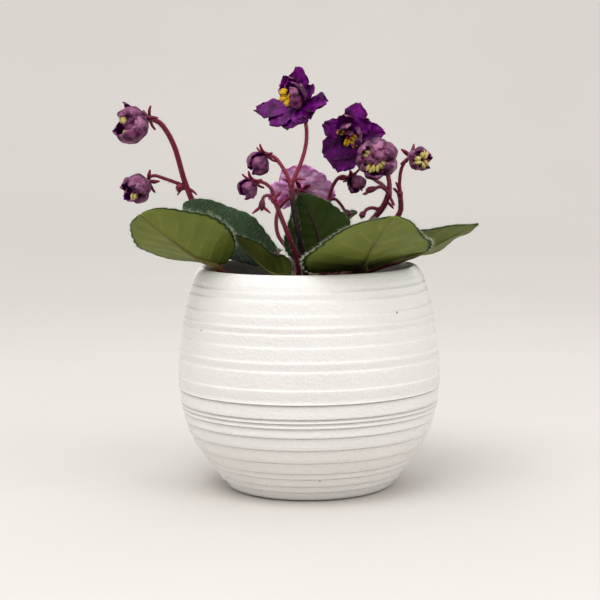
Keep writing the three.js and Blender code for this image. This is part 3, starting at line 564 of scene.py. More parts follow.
def sheet(middle, thickness, notes, upper, under):
    """A closed thin sheet round a grid of middle points, with a finish for each side."""
    rows, columns = middle.shape[:2]
    across = np.gradient(middle, axis=1)
    normal = unit(np.cross(across, np.gradient(middle, axis=0)) + 1e-9)
    half = np.broadcast_to(thickness, (rows, columns))[..., None] / 2
    points = np.stack([middle + normal * half, middle - normal * half]).reshape(-1, 3)
    low = rows * columns
    faces, marks = [], []
    for i in range(rows - 1):
        for j in range(columns - 1):
            a = i * columns + j
            b, c, d = a + 1, a + columns + 1, a + columns
            faces += [(a, b, c, d), (low + a, low + d, low + c, low + b)]
            marks += [upper, under]
    edge = [*range(columns - 1), *[i * columns + columns - 1 for i in range(rows - 1)]]
    edge += [(rows - 1) * columns + j for j in range(columns - 1, 0, -1)]
    edge += [i * columns for i in range(rows - 1, 0, -1)]
    for k, a in enumerate(edge):
        b = edge[(k + 1) % len(edge)]
        faces.append((a, low + a, low + b, b))
        marks.append(under)
    return points, faces, marks, np.vstack([notes.reshape(-1, 4)] * 2)


def stem(line, radii, sides=14, rings=None, finish=0, tone=0.0):
    """A closed round stem with domed ends. radii are its sizes along the way."""
    rings = rings or 12 * (len(line) - 1)
    shares = np.linspace(0, 1, rings)
    centres = spline(line, shares)
    sizes = np.interp(shares, np.linspace(0, 1, len(radii)), radii)
    along = unit(np.gradient(centres, axis=0))
    side = unit(np.cross(along[0], [0.3, 0.9, 0.2]))
    circles = []
    angle = np.arange(sides) * 2 * math.pi / sides
    for centre, size, ahead in zip(centres, sizes, along):
        side = unit(side - ahead * (side @ ahead))
        other = np.cross(ahead, side)
        ring = np.outer(np.cos(angle), side) + np.outer(np.sin(angle), other)
        circles.append(centre + ring * size)
    ends = (centres[0] - along[0] * sizes[0] * 0.5, centres[-1] + along[-1] * sizes[-1] * 0.5)
    points = np.vstack([*circles, ends])
    notes = np.zeros((len(points), 4))
    notes[:rings * sides, 0] = np.repeat(shares, sides)
    notes[:, 3] = tone
    return points, tube_faces(rings, sides), finish, notes


def leaf_grid(leaf):
    rows, columns = LEAF_GRID if leaf["width"] > YOUNG_WIDTH else YOUNG_GRID
    ease = (1 - np.cos(math.pi * np.linspace(0, 1, rows))) / 2
    s = 0.004 + 0.992 * (0.65 * ease + 0.35 * np.linspace(0, 1, rows))
    u = np.linspace(-1, 1, columns)
    return np.meshgrid(s, np.sign(u) * np.abs(u) ** 0.85, indexing="ij")


def leaf_parts(leaf):
    s, u = leaf_grid(leaf)
    vein, _ = veins(leaf, s, u)
    thickness = LEAF_EDGE + (LEAF_THICKNESS - LEAF_EDGE) * (1 - np.abs(u) ** 3) + 0.15 * vein
    notes = np.stack([s, np.abs(u), vein, np.full_like(s, leaf["tone"])], axis=-1)
    blade = sheet(leaf_middle(leaf, s, u), thickness, notes, 0, 1)
    # The stem runs on under the blade as its midrib, sinking into it and getting thinner.
    radius = YOUNG_STEM_RADIUS if leaf["width"] < YOUNG_WIDTH else STEM_RADIUS
    under = -unit(np.array(leaf["face"], float)) * radius
    line = leaf["stem"] + [spline(leaf["line"], share) + under * sink for share, sink, _ in MIDRIB]
    radii = [radius * size for size in (1.25, 1.05, 1, *[size for _, _, size in MIDRIB])]
    return [blade, stem(line, radii, finish=2, tone=leaf["tone"])]


def leaf_hairs(leaf, rng):
    """Fur on the edge, on the upper side and on the stem."""
    width = leaf["width"]
    count = int(width * EDGE_HAIRS)
    s, u = rng.uniform(0.01, 0.99, count), rng.choice([-1.0, 1.0], count)
    rim, within = leaf_middle(leaf, s, u), leaf_middle(leaf, s, u * 0.9)
    up = unit(np.array(leaf["face"], float)) * rng.uniform(0, 0.9, (count, 1))
    out = unit(rim - within) + up + rng.normal(size=(count, 3)) * 0.25
    fur = [hairs(rim, out, rng.uniform(*EDGE_HAIR_LENGTHS, count))]
    count = int(width ** 2 * FACE_HAIRS)
    s, u = rng.uniform(0.02, 0.97, count), rng.uniform(-1, 1, count)
    u = 0.97 * np.sign(u) * np.abs(u) ** 0.5
    here = leaf_middle(leaf, s, u)
    ahead, beside = leaf_middle(leaf, s + 0.02, u), leaf_middle(leaf, s, u + 0.02)
    normal = unit(np.cross(beside - here, ahead - here))
    lean = normal + unit(ahead - here) * 0.7 + rng.normal(size=(count, 3)) * 0.2
    fur.append(hairs(here + normal * 0.3, lean, rng.uniform(*FACE_HAIR_LENGTHS, count)))
    line = [*leaf["stem"], leaf["line"][0]]
    out = unit(rng.normal(size=(STEM_HAIRS, 3)))
    skin = 0.7 if width < YOUNG_WIDTH else 1.1
    roots = spline(line, rng.uniform(0.1, 1, STEM_HAIRS)) + out * skin
    fur.append(hairs(roots, out, rng.uniform(*STEM_HAIR_LENGTHS, STEM_HAIRS)))
    return fur


def leaf_side(name, deep, dark, light, rib, rim, **sockets):
    """A side of a leaf, mottled from dark to light, with veins and a rim in their own colours.
    The higher a leaf's tone, the nearer it is to the deep colour and the darker its midrib. This is
    partly the leaf's own colour and partly painted shade."""
    made = Finish(name, Subsurface_Weight=0.15, Subsurface_Scale=0.0015,
                  Subsurface_Radius=(0.6, 1.0, 0.15), **sockets)
    along, edge, vein, tone = made.notes()
    mottle = made.mix(made.noise(140, 4.0), dark, light)
    mottle = made.mix(made.steps(along, 0.35, 0.0), mottle, made.mix(0.45, mottle, deep))
    # A higher tone brings the colour nearer the deep one and the midrib to dark red, partly as painted
    # shade.
    rib = made.mix(tone, made.mix(made.steps(edge, 0.12, 0.05), rib, dark), "30100e")
    veined = made.mix(made.times(vein, 0.5), made.mix(tone, mottle, deep), rib)
    made.set(Base_Color=made.mix(made.steps(edge, 0.93, 0.975), veined, rim))
    made.bump(made.noise(1700, 3.0), 0.00015)
    return made


leaf_upper = leaf_side("leaf_upper", "14260c", "142c10", "35572a", "26441c", "1e3814",
                       Roughness=0.5, Specular_IOR_Level=0.25)
leaf_under = leaf_side("leaf_under", "2a3c02", "606a30", "8a9048", "9c9658", "223a14",
                       Roughness=0.55, Specular_IOR_Level=0.25)
leaf_stem = Finish("leaf_stem", Roughness=0.5, Subsurface_Weight=0.15, Subsurface_Scale=0.001)
stem_along, _, _, leaf_tone_and_shade = leaf_stem.notes()
# The midrib turns from olive to dark red as the tone rises: partly its own colour, partly painted
# shade.
rib_colour = leaf_stem.mix(leaf_stem.steps(leaf_tone_and_shade, 0.4, 0.9), "6a6434", "2c0c0e")
leaf_stem.set(Base_Color=leaf_stem.mix(leaf_stem.steps(stem_along, 0.3, 0.6), "541820", rib_colour))
leaf_stem.bump(leaf_stem.noise(1500, 3.0), 0.0002)

for leaf in LEAVES:
    blade = shape(leaf["name"] + "_blade", leaf_parts(leaf), [leaf_upper, leaf_under, leaf_stem])
    fit(blade, "leaf", leaf["name"])
    fit(shape(leaf["name"] + "_hairs", leaf_hairs(leaf, rng), [plant_hair]), "leaf")

# ---- flower stalks ----
# Slender crimson stalks, each from the crown to one or more flowers. They fork at a fuzzy node
# with small bracts, and end behind each flower in a calyx of five narrow sepals. Small unopened
# buds hang from the forks, and white hair stands out all over.

CUP_SEAT = 1.0  # from the heart of a flower back to the middle of its calyx
CUP_REACH = 4  # a stalk ends this close to the cup of its flower
CUP_RADIUS, CUP_DEPTH = 1.25, 0.9
SEPAL_REACH = 4.6
SEPAL_WIDTH = 1.5
TONGUE_THICKNESS = 0.4  # of sepals and bracts
TONGUE_ROWS, TONGUE_COLUMNS = 12, 7
SEPAL_LINE = [(0.5, 0.1), (1.8, 0.35), (3.2, 0.2), (SEPAL_REACH, -0.45)]  # outward and ahead
BRACT_WIDTH = 0.95
BUD_RADIUS = 1.05
FORK_KNOB = [1.08, 1.08, 1.3]
STALK_HAIR_RADIUS = 0.035
STALK_HAIRS = 9  # on each millimetre of a stalk
BUD_HAIRS = 70
CUP_HAIRS = 60
STALK_HAIR_LENGTHS = (0.5, 1.1)
BUD_HAIR_LENGTHS = (0.5, 0.9)  # and on a cup
# The runs of a stalk are its radius and its line from the crown or from a fork. Its bracts and its
# small closed buds each have a line too.
STALKS = [
    dict(name="stalk_left", runs=[
        (1, [[-4, 5, 70], [-9, 13, 78], [-21, 22.5, 87], [-34, 25, 93.5], [-41.5, 22.5, 99.5]]),
        (0.95, [[-41.4, 22.5, 99], [-44, 20, 107], [-46.8, 16, 118.4], [-50.6, 12, 126],
            [-54.4, 9.4, 128.4]]),
        (0.62, [[-43.2, 21.2, 104], [-47, 20, 105.6], [-50.6, 19, 107], [-54, 17.4, 108.2],
            [-56, 16, 107.6]]),
    ], bracts=[
        [[-43, 21.4, 103.4], [-45, 20.4, 103], [-46.4, 19.8, 101]],
        [[-43, 21.4, 103.8], [-41, 21, 102.4], [-39.4, 20.8, 101]],
    ], buds=[
        [[-43.8, 21, 104], [-45.6, 19.4, 104], [-46, 18.6, 102.4]],
    ]),
    dict(name="stalk_top", runs=[
        (1, [[-0.5, -4.4, 70], [-1.2, -8.4, 79], [-3, -11.6, 88], [-4.6, -12.6, 97],
            [-5.5, -13, 106]]),
        (0.62, [[-5.5, -13, 105.6], [-7.4, -13, 110], [-10.2, -13, 114.2], [-12.4, -13.4, 115.4],
            [-14, -13.6, 115]]),
        (0.66, [[-5.4, -13, 105.6], [-2.4, -13, 112], [-0.5, -13, 118], [0, -12.6, 123.5],
            [-0.8, -11, 128.8]]),
    ], bracts=[
        [[-5.6, -13, 105.4], [-6.8, -13.8, 107], [-8.4, -14.4, 107.4]],
        [[-5.2, -13, 105.6], [-3.6, -13.8, 107.4], [-0.4, -14.6, 107.2]],
    ], buds=[]),
    dict(name="stalk_centre", runs=[
        (0.85, [[-3.6, -3.4, 70], [-3.4, -9, 78.5], [-6, -13.6, 87], [-8.8, -15.4, 94.4],
            [-11.2, -16, 101]]),
        (0.58, [[-11.2, -16, 100.8], [-12, -16.4, 104.2], [-14, -17, 106.2], [-16, -17.2, 106.8],
            [-17.6, -17.4, 106]]),
        (0.55, [[-11.2, -16, 101], [-13, -16.4, 102.2], [-14.6, -16.8, 101.8],
            [-15.2, -17, 100.2]]),
    ], bracts=[
        [[-11.2, -16, 101], [-9.8, -16.8, 102.4], [-8.6, -17.2, 103.6]],
        [[-11.2, -16, 101], [-10, -16.6, 99.8], [-9.2, -17.2, 98.6]],
        [[-15.3, -17, 98.8], [-16.8, -17.4, 97.6], [-18.6, -17.6, 96.2]],
        [[-15.3, -17, 98.8], [-14, -17.2, 97.6], [-12.4, -17.4, 96.2]],
    ], buds=[
        [[-15, -16.9, 100.9], [-15.3, -17, 99], [-15.3, -17, 97.2]],
    ]),
    dict(name="stalk_pink", runs=[
        (0.7, [[-1, 6, 70], [-5, 13, 79], [-10.6, 17, 87], [-10, 19, 96], [-3, 19, 102]]),
    ], bracts=[], buds=[]),
    dict(name="stalk_middle", runs=[
        (0.75, [[1.5, 3, 70], [3, 6, 80], [5.5, 7, 92], [7.4, 7, 99.5]]),
        (0.62, [[7.4, 7, 99.2], [8.8, 6.4, 103.6], [10.6, 5.6, 106.6], [12.6, 5, 107.6],
            [14.4, 4.4, 107]]),
        (0.55, [[7.4, 7, 99.2], [9.8, 6.6, 99.6], [12, 6.4, 97.4], [13.4, 6.4, 95]]),
    ], bracts=[], buds=[
        [[13, 6.4, 95.6], [14.2, 6.2, 94.6], [14.4, 6, 93.2]],
    ]),
    dict(name="stalk_right", runs=[
        (1.1, [[3.8, -1, 70], [10, 0, 80], [19, -1, 89], [25.6, -3.6, 96.6], [28, -5.4, 102]]),
        (0.8, [[28, -5.4, 101.6], [28.2, -5, 105], [27.4, -4.4, 109.5], [26, -4.4, 112.8]]),
        (0.62, [[28, -5.2, 102.4], [25.6, -2.6, 105], [22.8, 1, 107], [19.4, 5, 111.5],
            [16.6, 5.4, 118.6]]),
        (0.6, [[28, -5.4, 102.2], [25.4, -7, 104.2], [23, -8, 103.8]]),
        (0.6, [[25, -3.4, 96], [22.6, -5, 97], [20.4, -6, 96.6], [19.4, -6.4, 95.4]]),
    ], bracts=[
        [[28, -5.4, 101.6], [29.2, -6, 98.8], [29.8, -6.4, 97.8]],
        [[27, -4.8, 99.4], [28.8, -4.4, 97.6], [29.6, -4, 96.6]],
        [[21.6, -8.8, 103.4], [20, -9.2, 102.2], [18.8, -9.4, 102]],
    ], buds=[
        [[23.4, -8, 103.9], [21.6, -8.6, 103.4], [20, -9, 103.2]],
        [[19.6, -6.4, 95.6], [18.8, -6.8, 94.8], [18.4, -7, 93.6]],
    ]),
    dict(name="stalk_far_right", runs=[
        (1, [[3.6, 2.2, 70], [13, 5.5, 79.5], [26, 6, 88], [32.2, 4.6, 94.5], [32.4, 4, 101.5]]),
        (0.6, [[32.4, 4, 101.2], [32.2, 3.8, 105], [32.7, 3, 109.5], [34, 2, 112.4]]),
    ], bracts=[
        [[32.4, 4, 101.6], [31.6, 3.4, 104], [30.8, 3, 105.4]],
        [[32.4, 4, 100.4], [30.8, 3.4, 102.6], [29.9, 2.6, 103.2]],
    ], buds=[]),
]


def wrapped(clock):
    """The five petals of a closed bud, which take their lean and size from its heart."""
    return [[clock + 72 * k, 0, 0, 0, 0, 0.5] for k in range(5)]


# Where each flower sits, the way it looks and the size of its heart. A petal is its clock angle,
# its lean at the root and at the tip, its length, width and cup. An anther is its clock angle,
# its lean and the length of its filament.
BLOOMS = [
    dict(name="bloom_top", at=[-2.6, -12, 131.8], toward=[-0.35, -0.6, 0.7], core=1.7, petals=[
        [194, 88, 76, 15.5, 9, 0.15], [230, 86, 90, 11.5, 10, 0.1], [268, 86, 98, 10.5, 10, 0.1],
        [312, 86, 92, 10, 9, 0.15], [356, 84, 74, 12.5, 9, 0.25], [92, 62, 34, 13.5, 8.5, 0.3],
        [52, 80, 50, 9, 6.5, 0.3], [126, 50, 0, 12, 7, 0.5], [158, 56, 6, 10, 6, 0.5],
        [350, 44, -20, 7, 5.5, 0.5],
    ], anthers=[[178, 28, 6.6], [200, 40, 5.4], [184, 14, 4], [232, 42, 3.8]]),
    dict(name="bloom_right_back", at=[15.2, 1, 121.4], toward=[-0.1, -0.95, 0.12], core=1.7, petals=[
        [216, 86, 90, 11.5, 9, 0.1], [250, 84, 88, 13, 10.5, 0.1], [294, 86, 90, 10, 9, 0.15],
        [6, 84, 88, 12, 7.5, 0.2], [76, 84, 92, 12, 8, 0.2], [38, 80, 70, 9, 7, 0.25],
        [156, 80, 84, 10.5, 7, 0.2], [112, 74, 0, 12, 8, 0.5], [322, 64, 10, 8, 7, 0.5],
    ], anthers=[[160, 68, 3.8], [250, 42, 3.8], [296, 50, 4.2], [330, 30, 3.4]]),
    dict(name="bloom_right_front", at=[24.4, -9, 114.2], toward=[-0.15, -0.95, 0], core=1.7, petals=[
        [28, 102, -72, 17.5, 9, 0.5], [84, 102, -80, 17, 9, 0.5], [140, 98, -56, 15.5, 8.5, 0.5],
        [196, 102, -66, 16.5, 9, 0.5], [258, 102, -50, 15.5, 9, 0.5],
        [324, 102, -70, 17.5, 9, 0.5],
    ], anthers=[[155, 26, 7.4], [238, 30, 8], [268, 24, 8], [314, 22, 7.6]]),
    dict(name="bloom_left_upper", at=[-56.6, 6, 128], toward=[-0.75, -0.6, -0.2], core=1.6, petals=[
        [84, 92, -60, 14, 8, 0.5], [104, 66, 44, 9.5, 3.6, 0.5], [350, 96, -16, 9.5, 8.5, 0.5],
        [222, 96, -76, 17, 9, 0.5], [270, 100, -80, 18, 9.5, 0.5], [318, 100, -66, 16, 9, 0.5],
    ], anthers=[[84, 14, 7.6], [262, 26, 7.4]]),
    dict(name="bloom_left_lower", at=[-57.4, 12.6, 105.4], toward=[-0.5, -0.8, -0.3], core=1.6, petals=[
        [88, 98, -76, 12.5, 8, 0.5], [154, 96, -50, 12, 7, 0.5], [216, 94, -40, 11.5, 7, 0.5],
        [288, 98, -64, 12.5, 7.5, 0.5], [18, 98, -70, 12.5, 8, 0.5],
    ], anthers=[[262, 24, 6]]),
    dict(name="bloom_pink", at=[-1.8, 20.4, 103.2], toward=[0.1, 0.85, 0.4], core=1.5, petals=[
        [338, 84, 98, 13, 11, 0.1], [42, 82, 84, 9.5, 9, 0.1], [102, 80, 88, 9, 9, 0.15],
        [152, 84, 94, 10, 9, 0.1], [198, 84, 96, 12.5, 11, 0.1],
    ], anthers=[[80, 20, 3.2], [260, 24, 3.2]]),
    dict(name="bud_centre_upper", at=[-16.4, -14.4, 113], toward=[-0.62, -0.3, -0.72], core=3.1,
         petals=wrapped(20), anthers=[]),
    dict(name="bud_centre_lower", at=[-20, -18, 104.6], toward=[-0.5, -0.4, -0.72], core=2.5,
         petals=wrapped(50), anthers=[]),
    dict(name="bud_middle", at=[17, 3.8, 105], toward=[0.5, -0.3, -0.8], core=2.4,
         petals=wrapped(10), anthers=[]),
    dict(name="bud_far_right", at=[37.2, -0.4, 113.9], toward=[0.45, -0.85, -0.1], core=1.6, petals=[
        [15, 102, -50, 9, 5.4, 0.5], [87, 102, -60, 9, 5.4, 0.5], [159, 102, -44, 8.8, 5.4, 0.5],
        [231, 102, -54, 9, 5.4, 0.5], [303, 102, -50, 9, 5.4, 0.5],
    ], anthers=[[70, 24, 4.4], [190, 26, 4.4], [300, 26, 4.4]]),
]


def bloom_axes(bloom):
    axis = unit(np.array(bloom["toward"], float))
    right = unit(np.cross([0, 0, 1], axis))
    return np.array(bloom["at"], float), axis, right, np.cross(axis, right)


def around(bloom, clock):
    """The way out from a flower's middle at a clock angle in degrees, 90 being up."""
    _, _, right, up = bloom_axes(bloom)
    return right * math.cos(math.radians(clock)) + up * math.sin(math.radians(clock))


def cup_place(bloom):
    at, axis, _, _ = bloom_axes(bloom)
    return at - axis * (bloom["core"] + CUP_SEAT)


def knob(bloom, place, size, finish):
    """A round knob that sits square across a flower's axis."""
    _, axis, _, _ = bloom_axes(bloom)
    axes = np.array([around(bloom, 0), around(bloom, 90), axis])
    return *lump(place, axes, size, 8, 14), finish


def tongue(line, width, side):
    """A narrow pointed leaflet along a line, such as a sepal or a bract."""
    s, u = np.meshgrid(np.linspace(0.02, 0.99, TONGUE_ROWS), np.linspace(-1, 1, TONGUE_COLUMNS),
                       indexing="ij")
    half = width / 2 * np.sin(math.pi * (0.12 + 0.86 * s)) ** 0.8
    along = heading(line, s)
    across = unit(side - along * (along @ side)[..., None])
    middle = spline(line, s) + across * (half * u)[..., None]
    middle = middle + np.cross(across, along) * (0.25 * width * u * u)[..., None]
    notes = np.stack([s, np.abs(u), s * 0, s * 0], axis=-1)
    return sheet(middle, TONGUE_THICKNESS * (1.1 - np.abs(u) ** 2 * 0.7), notes, 0, 0)


def calyx_parts(bloom):
    _, axis, _, _ = bloom_axes(bloom)
    cup = cup_place(bloom)
    parts = [knob(bloom, cup + axis * 0.1, [CUP_RADIUS, CUP_RADIUS, CUP_DEPTH], 0)]
    for k in range(5):
        out = around(bloom, 72 * k)
        line = [cup + out * reach + axis * rise for reach, rise in SEPAL_LINE]
        parts.append(tongue(line, SEPAL_WIDTH, np.cross(axis, out)))
    return parts


def stalk_blooms(stalk):
    tips = [np.array(line[-1], float) for _, line in stalk["runs"]]
    return [bloom for bloom in BLOOMS
            if any(np.linalg.norm(tip - cup_place(bloom)) < CUP_REACH for tip in tips)]


def stalk_routes(stalk):
    """Each run of a stalk with its radius, taken on to the cup of its flower where it has one."""
    cups = [cup_place(bloom) for bloom in stalk_blooms(stalk)]
    for radius, line in stalk["runs"]:
        ends = [cup for cup in cups if np.linalg.norm(cup - line[-1]) < CUP_REACH]
        yield [*line, *ends[:1]], radius


def stalk_parts(stalk):
    parts = []
    tone = 1.0 if stalk["name"] == "stalk_top" else 0.15
    for k, (line, radius) in enumerate(stalk_routes(stalk)):
        parts.append(stem(line, [radius * 1.1, radius, radius * 0.95, radius * 0.9], tone=tone))
        if k:
            parts.append((*lump(line[0], np.eye(3), FORK_KNOB, 8, 12, 0.2, k), 0))
    for line in stalk["bracts"]:
        side = np.cross(np.subtract(line[-1], line[0]), [0.2, 1.0, 0.1])
        parts.append(tongue(line, BRACT_WIDTH, unit(side)))
    for line in stalk["buds"]:
        parts.append(stem(line, [0.6 * BUD_RADIUS, BUD_RADIUS, 1.1 * BUD_RADIUS, 0.35 * BUD_RADIUS],
                          rings=16, tone=0.5))
    for bloom in stalk_blooms(stalk):
        parts += calyx_parts(bloom)
    return parts


def stalk_hairs(stalk, rng):
    fur = []
    for line, radius in stalk_routes(stalk):
        length = sum(np.linalg.norm(np.subtract(b, a)) for a, b in zip(line, line[1:]))
        count = int(length * STALK_HAIRS)
        share = rng.uniform(0.03, 1, count)
        along = heading(line, share)
        out = rng.normal(size=(count, 3))
        out = unit(out - along * np.sum(out * along, axis=1, keepdims=True))
        fur.append(hairs(spline(line, share) + out * radius * 0.9, out + along * 0.3,
                         rng.uniform(*STALK_HAIR_LENGTHS, count), STALK_HAIR_RADIUS))
    for line in stalk["buds"]:
        out = unit(rng.normal(size=(BUD_HAIRS, 3)))
        roots = spline(line, rng.uniform(0.2, 1, BUD_HAIRS)) + out * BUD_RADIUS * 0.9
        fur.append(hairs(roots, out, rng.uniform(*BUD_HAIR_LENGTHS, BUD_HAIRS), STALK_HAIR_RADIUS))
    for bloom in stalk_blooms(stalk):
        out = unit(rng.normal(size=(CUP_HAIRS, 3)))
        roots = cup_place(bloom) + out * CUP_RADIUS * 0.8
        fur.append(hairs(roots, out, rng.uniform(*BUD_HAIR_LENGTHS, CUP_HAIRS), STALK_HAIR_RADIUS))
    return fur


stalk_skin = Finish("stalk_skin", Roughness=0.5, Subsurface_Weight=0.15, Subsurface_Scale=0.0008)
_, _, _, stalk_tone = stalk_skin.notes()
climb = stalk_skin.node("SeparateXYZ", {0: stalk_skin.where}, 2)
crimson = stalk_skin.mix(stalk_skin.noise(320, 3.0), "600e30", "8c2244")
dusky = stalk_skin.mix(stalk_skin.steps(climb, 0.098, 0.109), "1c0408", "8c2644")
stalk_skin.set(Base_Color=stalk_skin.mix(stalk_tone, crimson, dusky))
stalk_skin.bump(stalk_skin.noise(1300, 3.0), 0.0002)

for stalk in STALKS:
    stems = shape(stalk["name"] + "_stems", stalk_parts(stalk), [stalk_skin])
    fit(stems, "stalk", stalk["name"])
    fit(shape(stalk["name"] + "_hairs", stalk_hairs(stalk, rng), [plant_hair]), "stalk")

# ---- petals ----
# Double flowers of soft thin petals, crumpled and frilled at the edge: deep purple with a satin
# face, and a paler mauve back on the ones that are curled up. Small crest petals stand in the
# middle. One flower is pink. All the petals of a flower grow from one small heart.

PETAL_THICKNESS = 0.34
PETAL_ROWS = 30
PETAL_COLUMNS = 23
CRUMPLE = 0.34
BUD_CORE = 2  # a flower with a larger heart than this is a closed bud
MOUTH_OPEN = 6  # degrees that the petals of a half-open flower have come undone
KNOB_CUP = 0.9  # small petals with this cup are curled into knobs
PETAL_VEINS = 13
CRESTS = {  # small petals in the middle, in the same six values as the large ones
    "bloom_top": [
        [30, 86, -44, 11, 5.4, 0.6], [78, 82, -60, 12, 6, 0.6], [124, 84, -50, 12, 6, 0.6],
        [300, 84, -40, 9, 5, 0.6], [340, 66, -60, 11, 5, 0.6],
    ],
    "bloom_right_back": [
        [8, 88, -52, 10.5, 5.4, 0.6], [122, 86, -60, 11.5, 6.4, 0.6], [164, 84, -30, 8.4, 5, 0.6],
        [318, 88, -46, 10.5, 5.4, 0.6], [66, 62, -70, 7, 4, 0.6],
    ],
    "bloom_right_front": [
        [84, 106, -140, 22.5, 7, 0.9], [26, 108, -140, 22.5, 6.4, 0.9],
        [190, 106, -140, 21, 5.4, 0.9], [292, 104, -140, 18, 4.6, 0.9],
        [116, 96, -140, 18, 5.4, 0.9], [352, 100, -140, 18, 4.6, 0.9],
    ],
    "bloom_left_upper": [
        [50, 106, -146, 18, 6, 0.9], [140, 104, -146, 17.5, 5.6, 0.9],
        [196, 100, -140, 16, 5, 0.9], [310, 106, -146, 18, 5.6, 0.9],
    ],
    "bloom_left_lower": [
        [60, 106, -146, 13, 4.6, 0.9], [150, 104, -146, 12.6, 4.4, 0.9],
        [222, 100, -140, 11.4, 4, 0.9], [320, 106, -146, 13, 4.6, 0.9],
    ],
    "bud_far_right": [
        [30, 106, -146, 9.4, 3.4, 0.9], [130, 104, -146, 9.2, 3.4, 0.9],
        [245, 104, -146, 9, 3.2, 0.9],
    ],
    "bloom_pink": [
        [20, 64, 30, 7, 7, 0.2], [112, 60, 30, 6.4, 6.6, 0.2], [200, 64, 30, 7, 7, 0.2],
        [290, 56, 20, 5.6, 6, 0.2],
    ],
}


def petal_parts(bloom, petal, k):
    clock, lean_root, lean_tip, length, width, cup = petal
    at, axis, _, _ = bloom_axes(bloom)
    closed = bloom["core"] > BUD_CORE
    if closed:
        # The petals of a closed bud start behind its heart and wrap it.
        at = at - axis * bloom["core"] * 0.85
        lean_root, lean_tip = 104 + 4 * (k % 2), -74 - 6 * (k % 3)
        length, width = (3.1 + 0.12 * (k % 2)) * bloom["core"], 1.9 * bloom["core"]
    half_open = not closed and lean_root > 90
    if half_open and cup < KNOB_CUP:
        lean_tip += MOUTH_OPEN
    out = around(bloom, clock)
    s, u = np.meshgrid(np.linspace(0.02, 1, PETAL_ROWS), np.linspace(-1, 1, PETAL_COLUMNS),
                       indexing="ij")
    scallop = 0.02 * np.sin(7 * u + k) + 0.012 * np.sin(17 * u)
    round_tip = s - 0.13 * u * u * s ** 5 + scallop * s ** 6
    root, turn = math.radians(lean_root), math.radians(lean_tip - lean_root)
    lean = root + turn * round_tip
    rise = length * (np.sin(lean) - math.sin(root)) / turn
    reach = length * (math.cos(root) - np.cos(lean)) / turn
    inward = axis * np.sin(lean)[..., None] - out * np.cos(lean)[..., None]
    half = width * 0.53 * np.sin(math.pi * (0.04 + 0.86 * s ** 1.6)) ** 0.7
    crimp = 1 + 0.035 * np.abs(u) ** 4 * np.sin(34 * s + 5 * k)
    frill = 0.3 * np.abs(u) ** 3 * s * np.sin(22 * s + 3 * k)
    frill = frill + 0.25 * s ** 5 * np.sin(9 * u + 2 * k)
    creases = [noise.noise(Vector((a * length * 0.42, b * width * 0.3, 7.3 * k + bloom["core"])))
               for a, b in zip(s.flat, u.flat)]
    loose, lap = (0.9, 0.75) if closed else (1, 0)
    crumpled = CRUMPLE * 2 * np.sqrt(s) * np.reshape(creases, s.shape)
    bend = cup * half * u * u + 0.35 * s * u * np.sin(9 * s + 2 * k) + loose * (frill + crumpled)
    bend = bend + 0.06 * np.cos(PETAL_VEINS * math.pi * u) * s + lap * (u - 0.4 * np.abs(u) ** 4)
    bend = bend + half_open * 0.45 * half * u ** 4
    middle = (at + axis * rise[..., None] + out * reach[..., None] + inward * bend[..., None]
              + np.cross(axis, out) * (half * u * crimp * (1 - 0.3 * cup * u * u))[..., None])
    curled = np.full_like(s, min(max((cup - 0.25) / 0.2, 0), 1))
    streak = 0.5 + 0.5 * np.cos(PETAL_VEINS * math.pi * u)
    notes = np.stack([s, np.abs(u), streak, curled], axis=-1)
    thickness = PETAL_THICKNESS * (1 - 0.35 * np.abs(u) ** 2) * (1.25 - 0.45 * s)
    return sheet(middle, thickness, notes, 1, 0)


def heart_part(bloom):
    size = bloom["core"] * (0.8 if bloom["core"] > BUD_CORE else 1)
    return (*lump(bloom["at"], np.eye(3), [size] * 3, 10, 14), 0)


def velvet(name, deep, bright, vein, pale=None, painted_highlight=None, **sockets):
    """A petal side, darker at the root, with fine veins. Curled petals are blotched with the
    vein colour, their edges take the pale one, and the rounded part near their tips takes a painted
    highlight, in patches."""
    made = Finish(name, Subsurface_Weight=0.15, Subsurface_Scale=0.001,
                  Subsurface_Radius=(1.0, 0.3, 0.9), **sockets)
    along, edge, streak, curled = made.notes()
    tint = made.mix(made.steps(made.noise(230, 4.0), 0.32, 0.68), deep, bright)
    if pale:
        blotch = made.mix(made.steps(made.noise(330, 4.0), 0.38, 0.62), pale, vein)
        tint = made.mix(curled, tint, made.mix(made.steps(edge, 0.5, 0.95), blotch, pale))
        # A painted highlight in patches on the rounded part near the tips of curled petals.
        highlight_mask = made.times(made.steps(along, 0.45, 0.8), curled)
        highlight_mask = made.times(highlight_mask, made.steps(made.noise(260, 3.0), 0.45, 0.62))
        tint = made.mix(highlight_mask, tint, painted_highlight)
    tint = made.mix(made.times(made.steps(streak, 0.75, 1.0), 0.35), tint, vein)
    tint = made.mix(made.times(made.steps(along, 0.45, 0.0), 0.7), tint, deep)
    made.set(Base_Color=tint)
    made.bump(made.noise(1900, 3.0), 0.00012)
    return made


purple_face = velvet("purple_face", "2a002c", "720a7c", "420044", Roughness=0.38,
                     Specular_IOR_Level=0.4, Specular_Tint=(1.0, 0.5, 0.85, 1))
purple_back = velvet("purple_back", "2c0428", "561444", "82446a", "3c0a34", "9c6886",
                     Roughness=0.45, Specular_Tint=(1.0, 0.8, 0.9, 1))
pink_face = velvet("pink_face", "c468b0", "f8b8e8", "c070b0", Roughness=0.5)
pink_back = velvet("pink_back", "d080c0", "ffd0f4", "c880bc", Roughness=0.5)

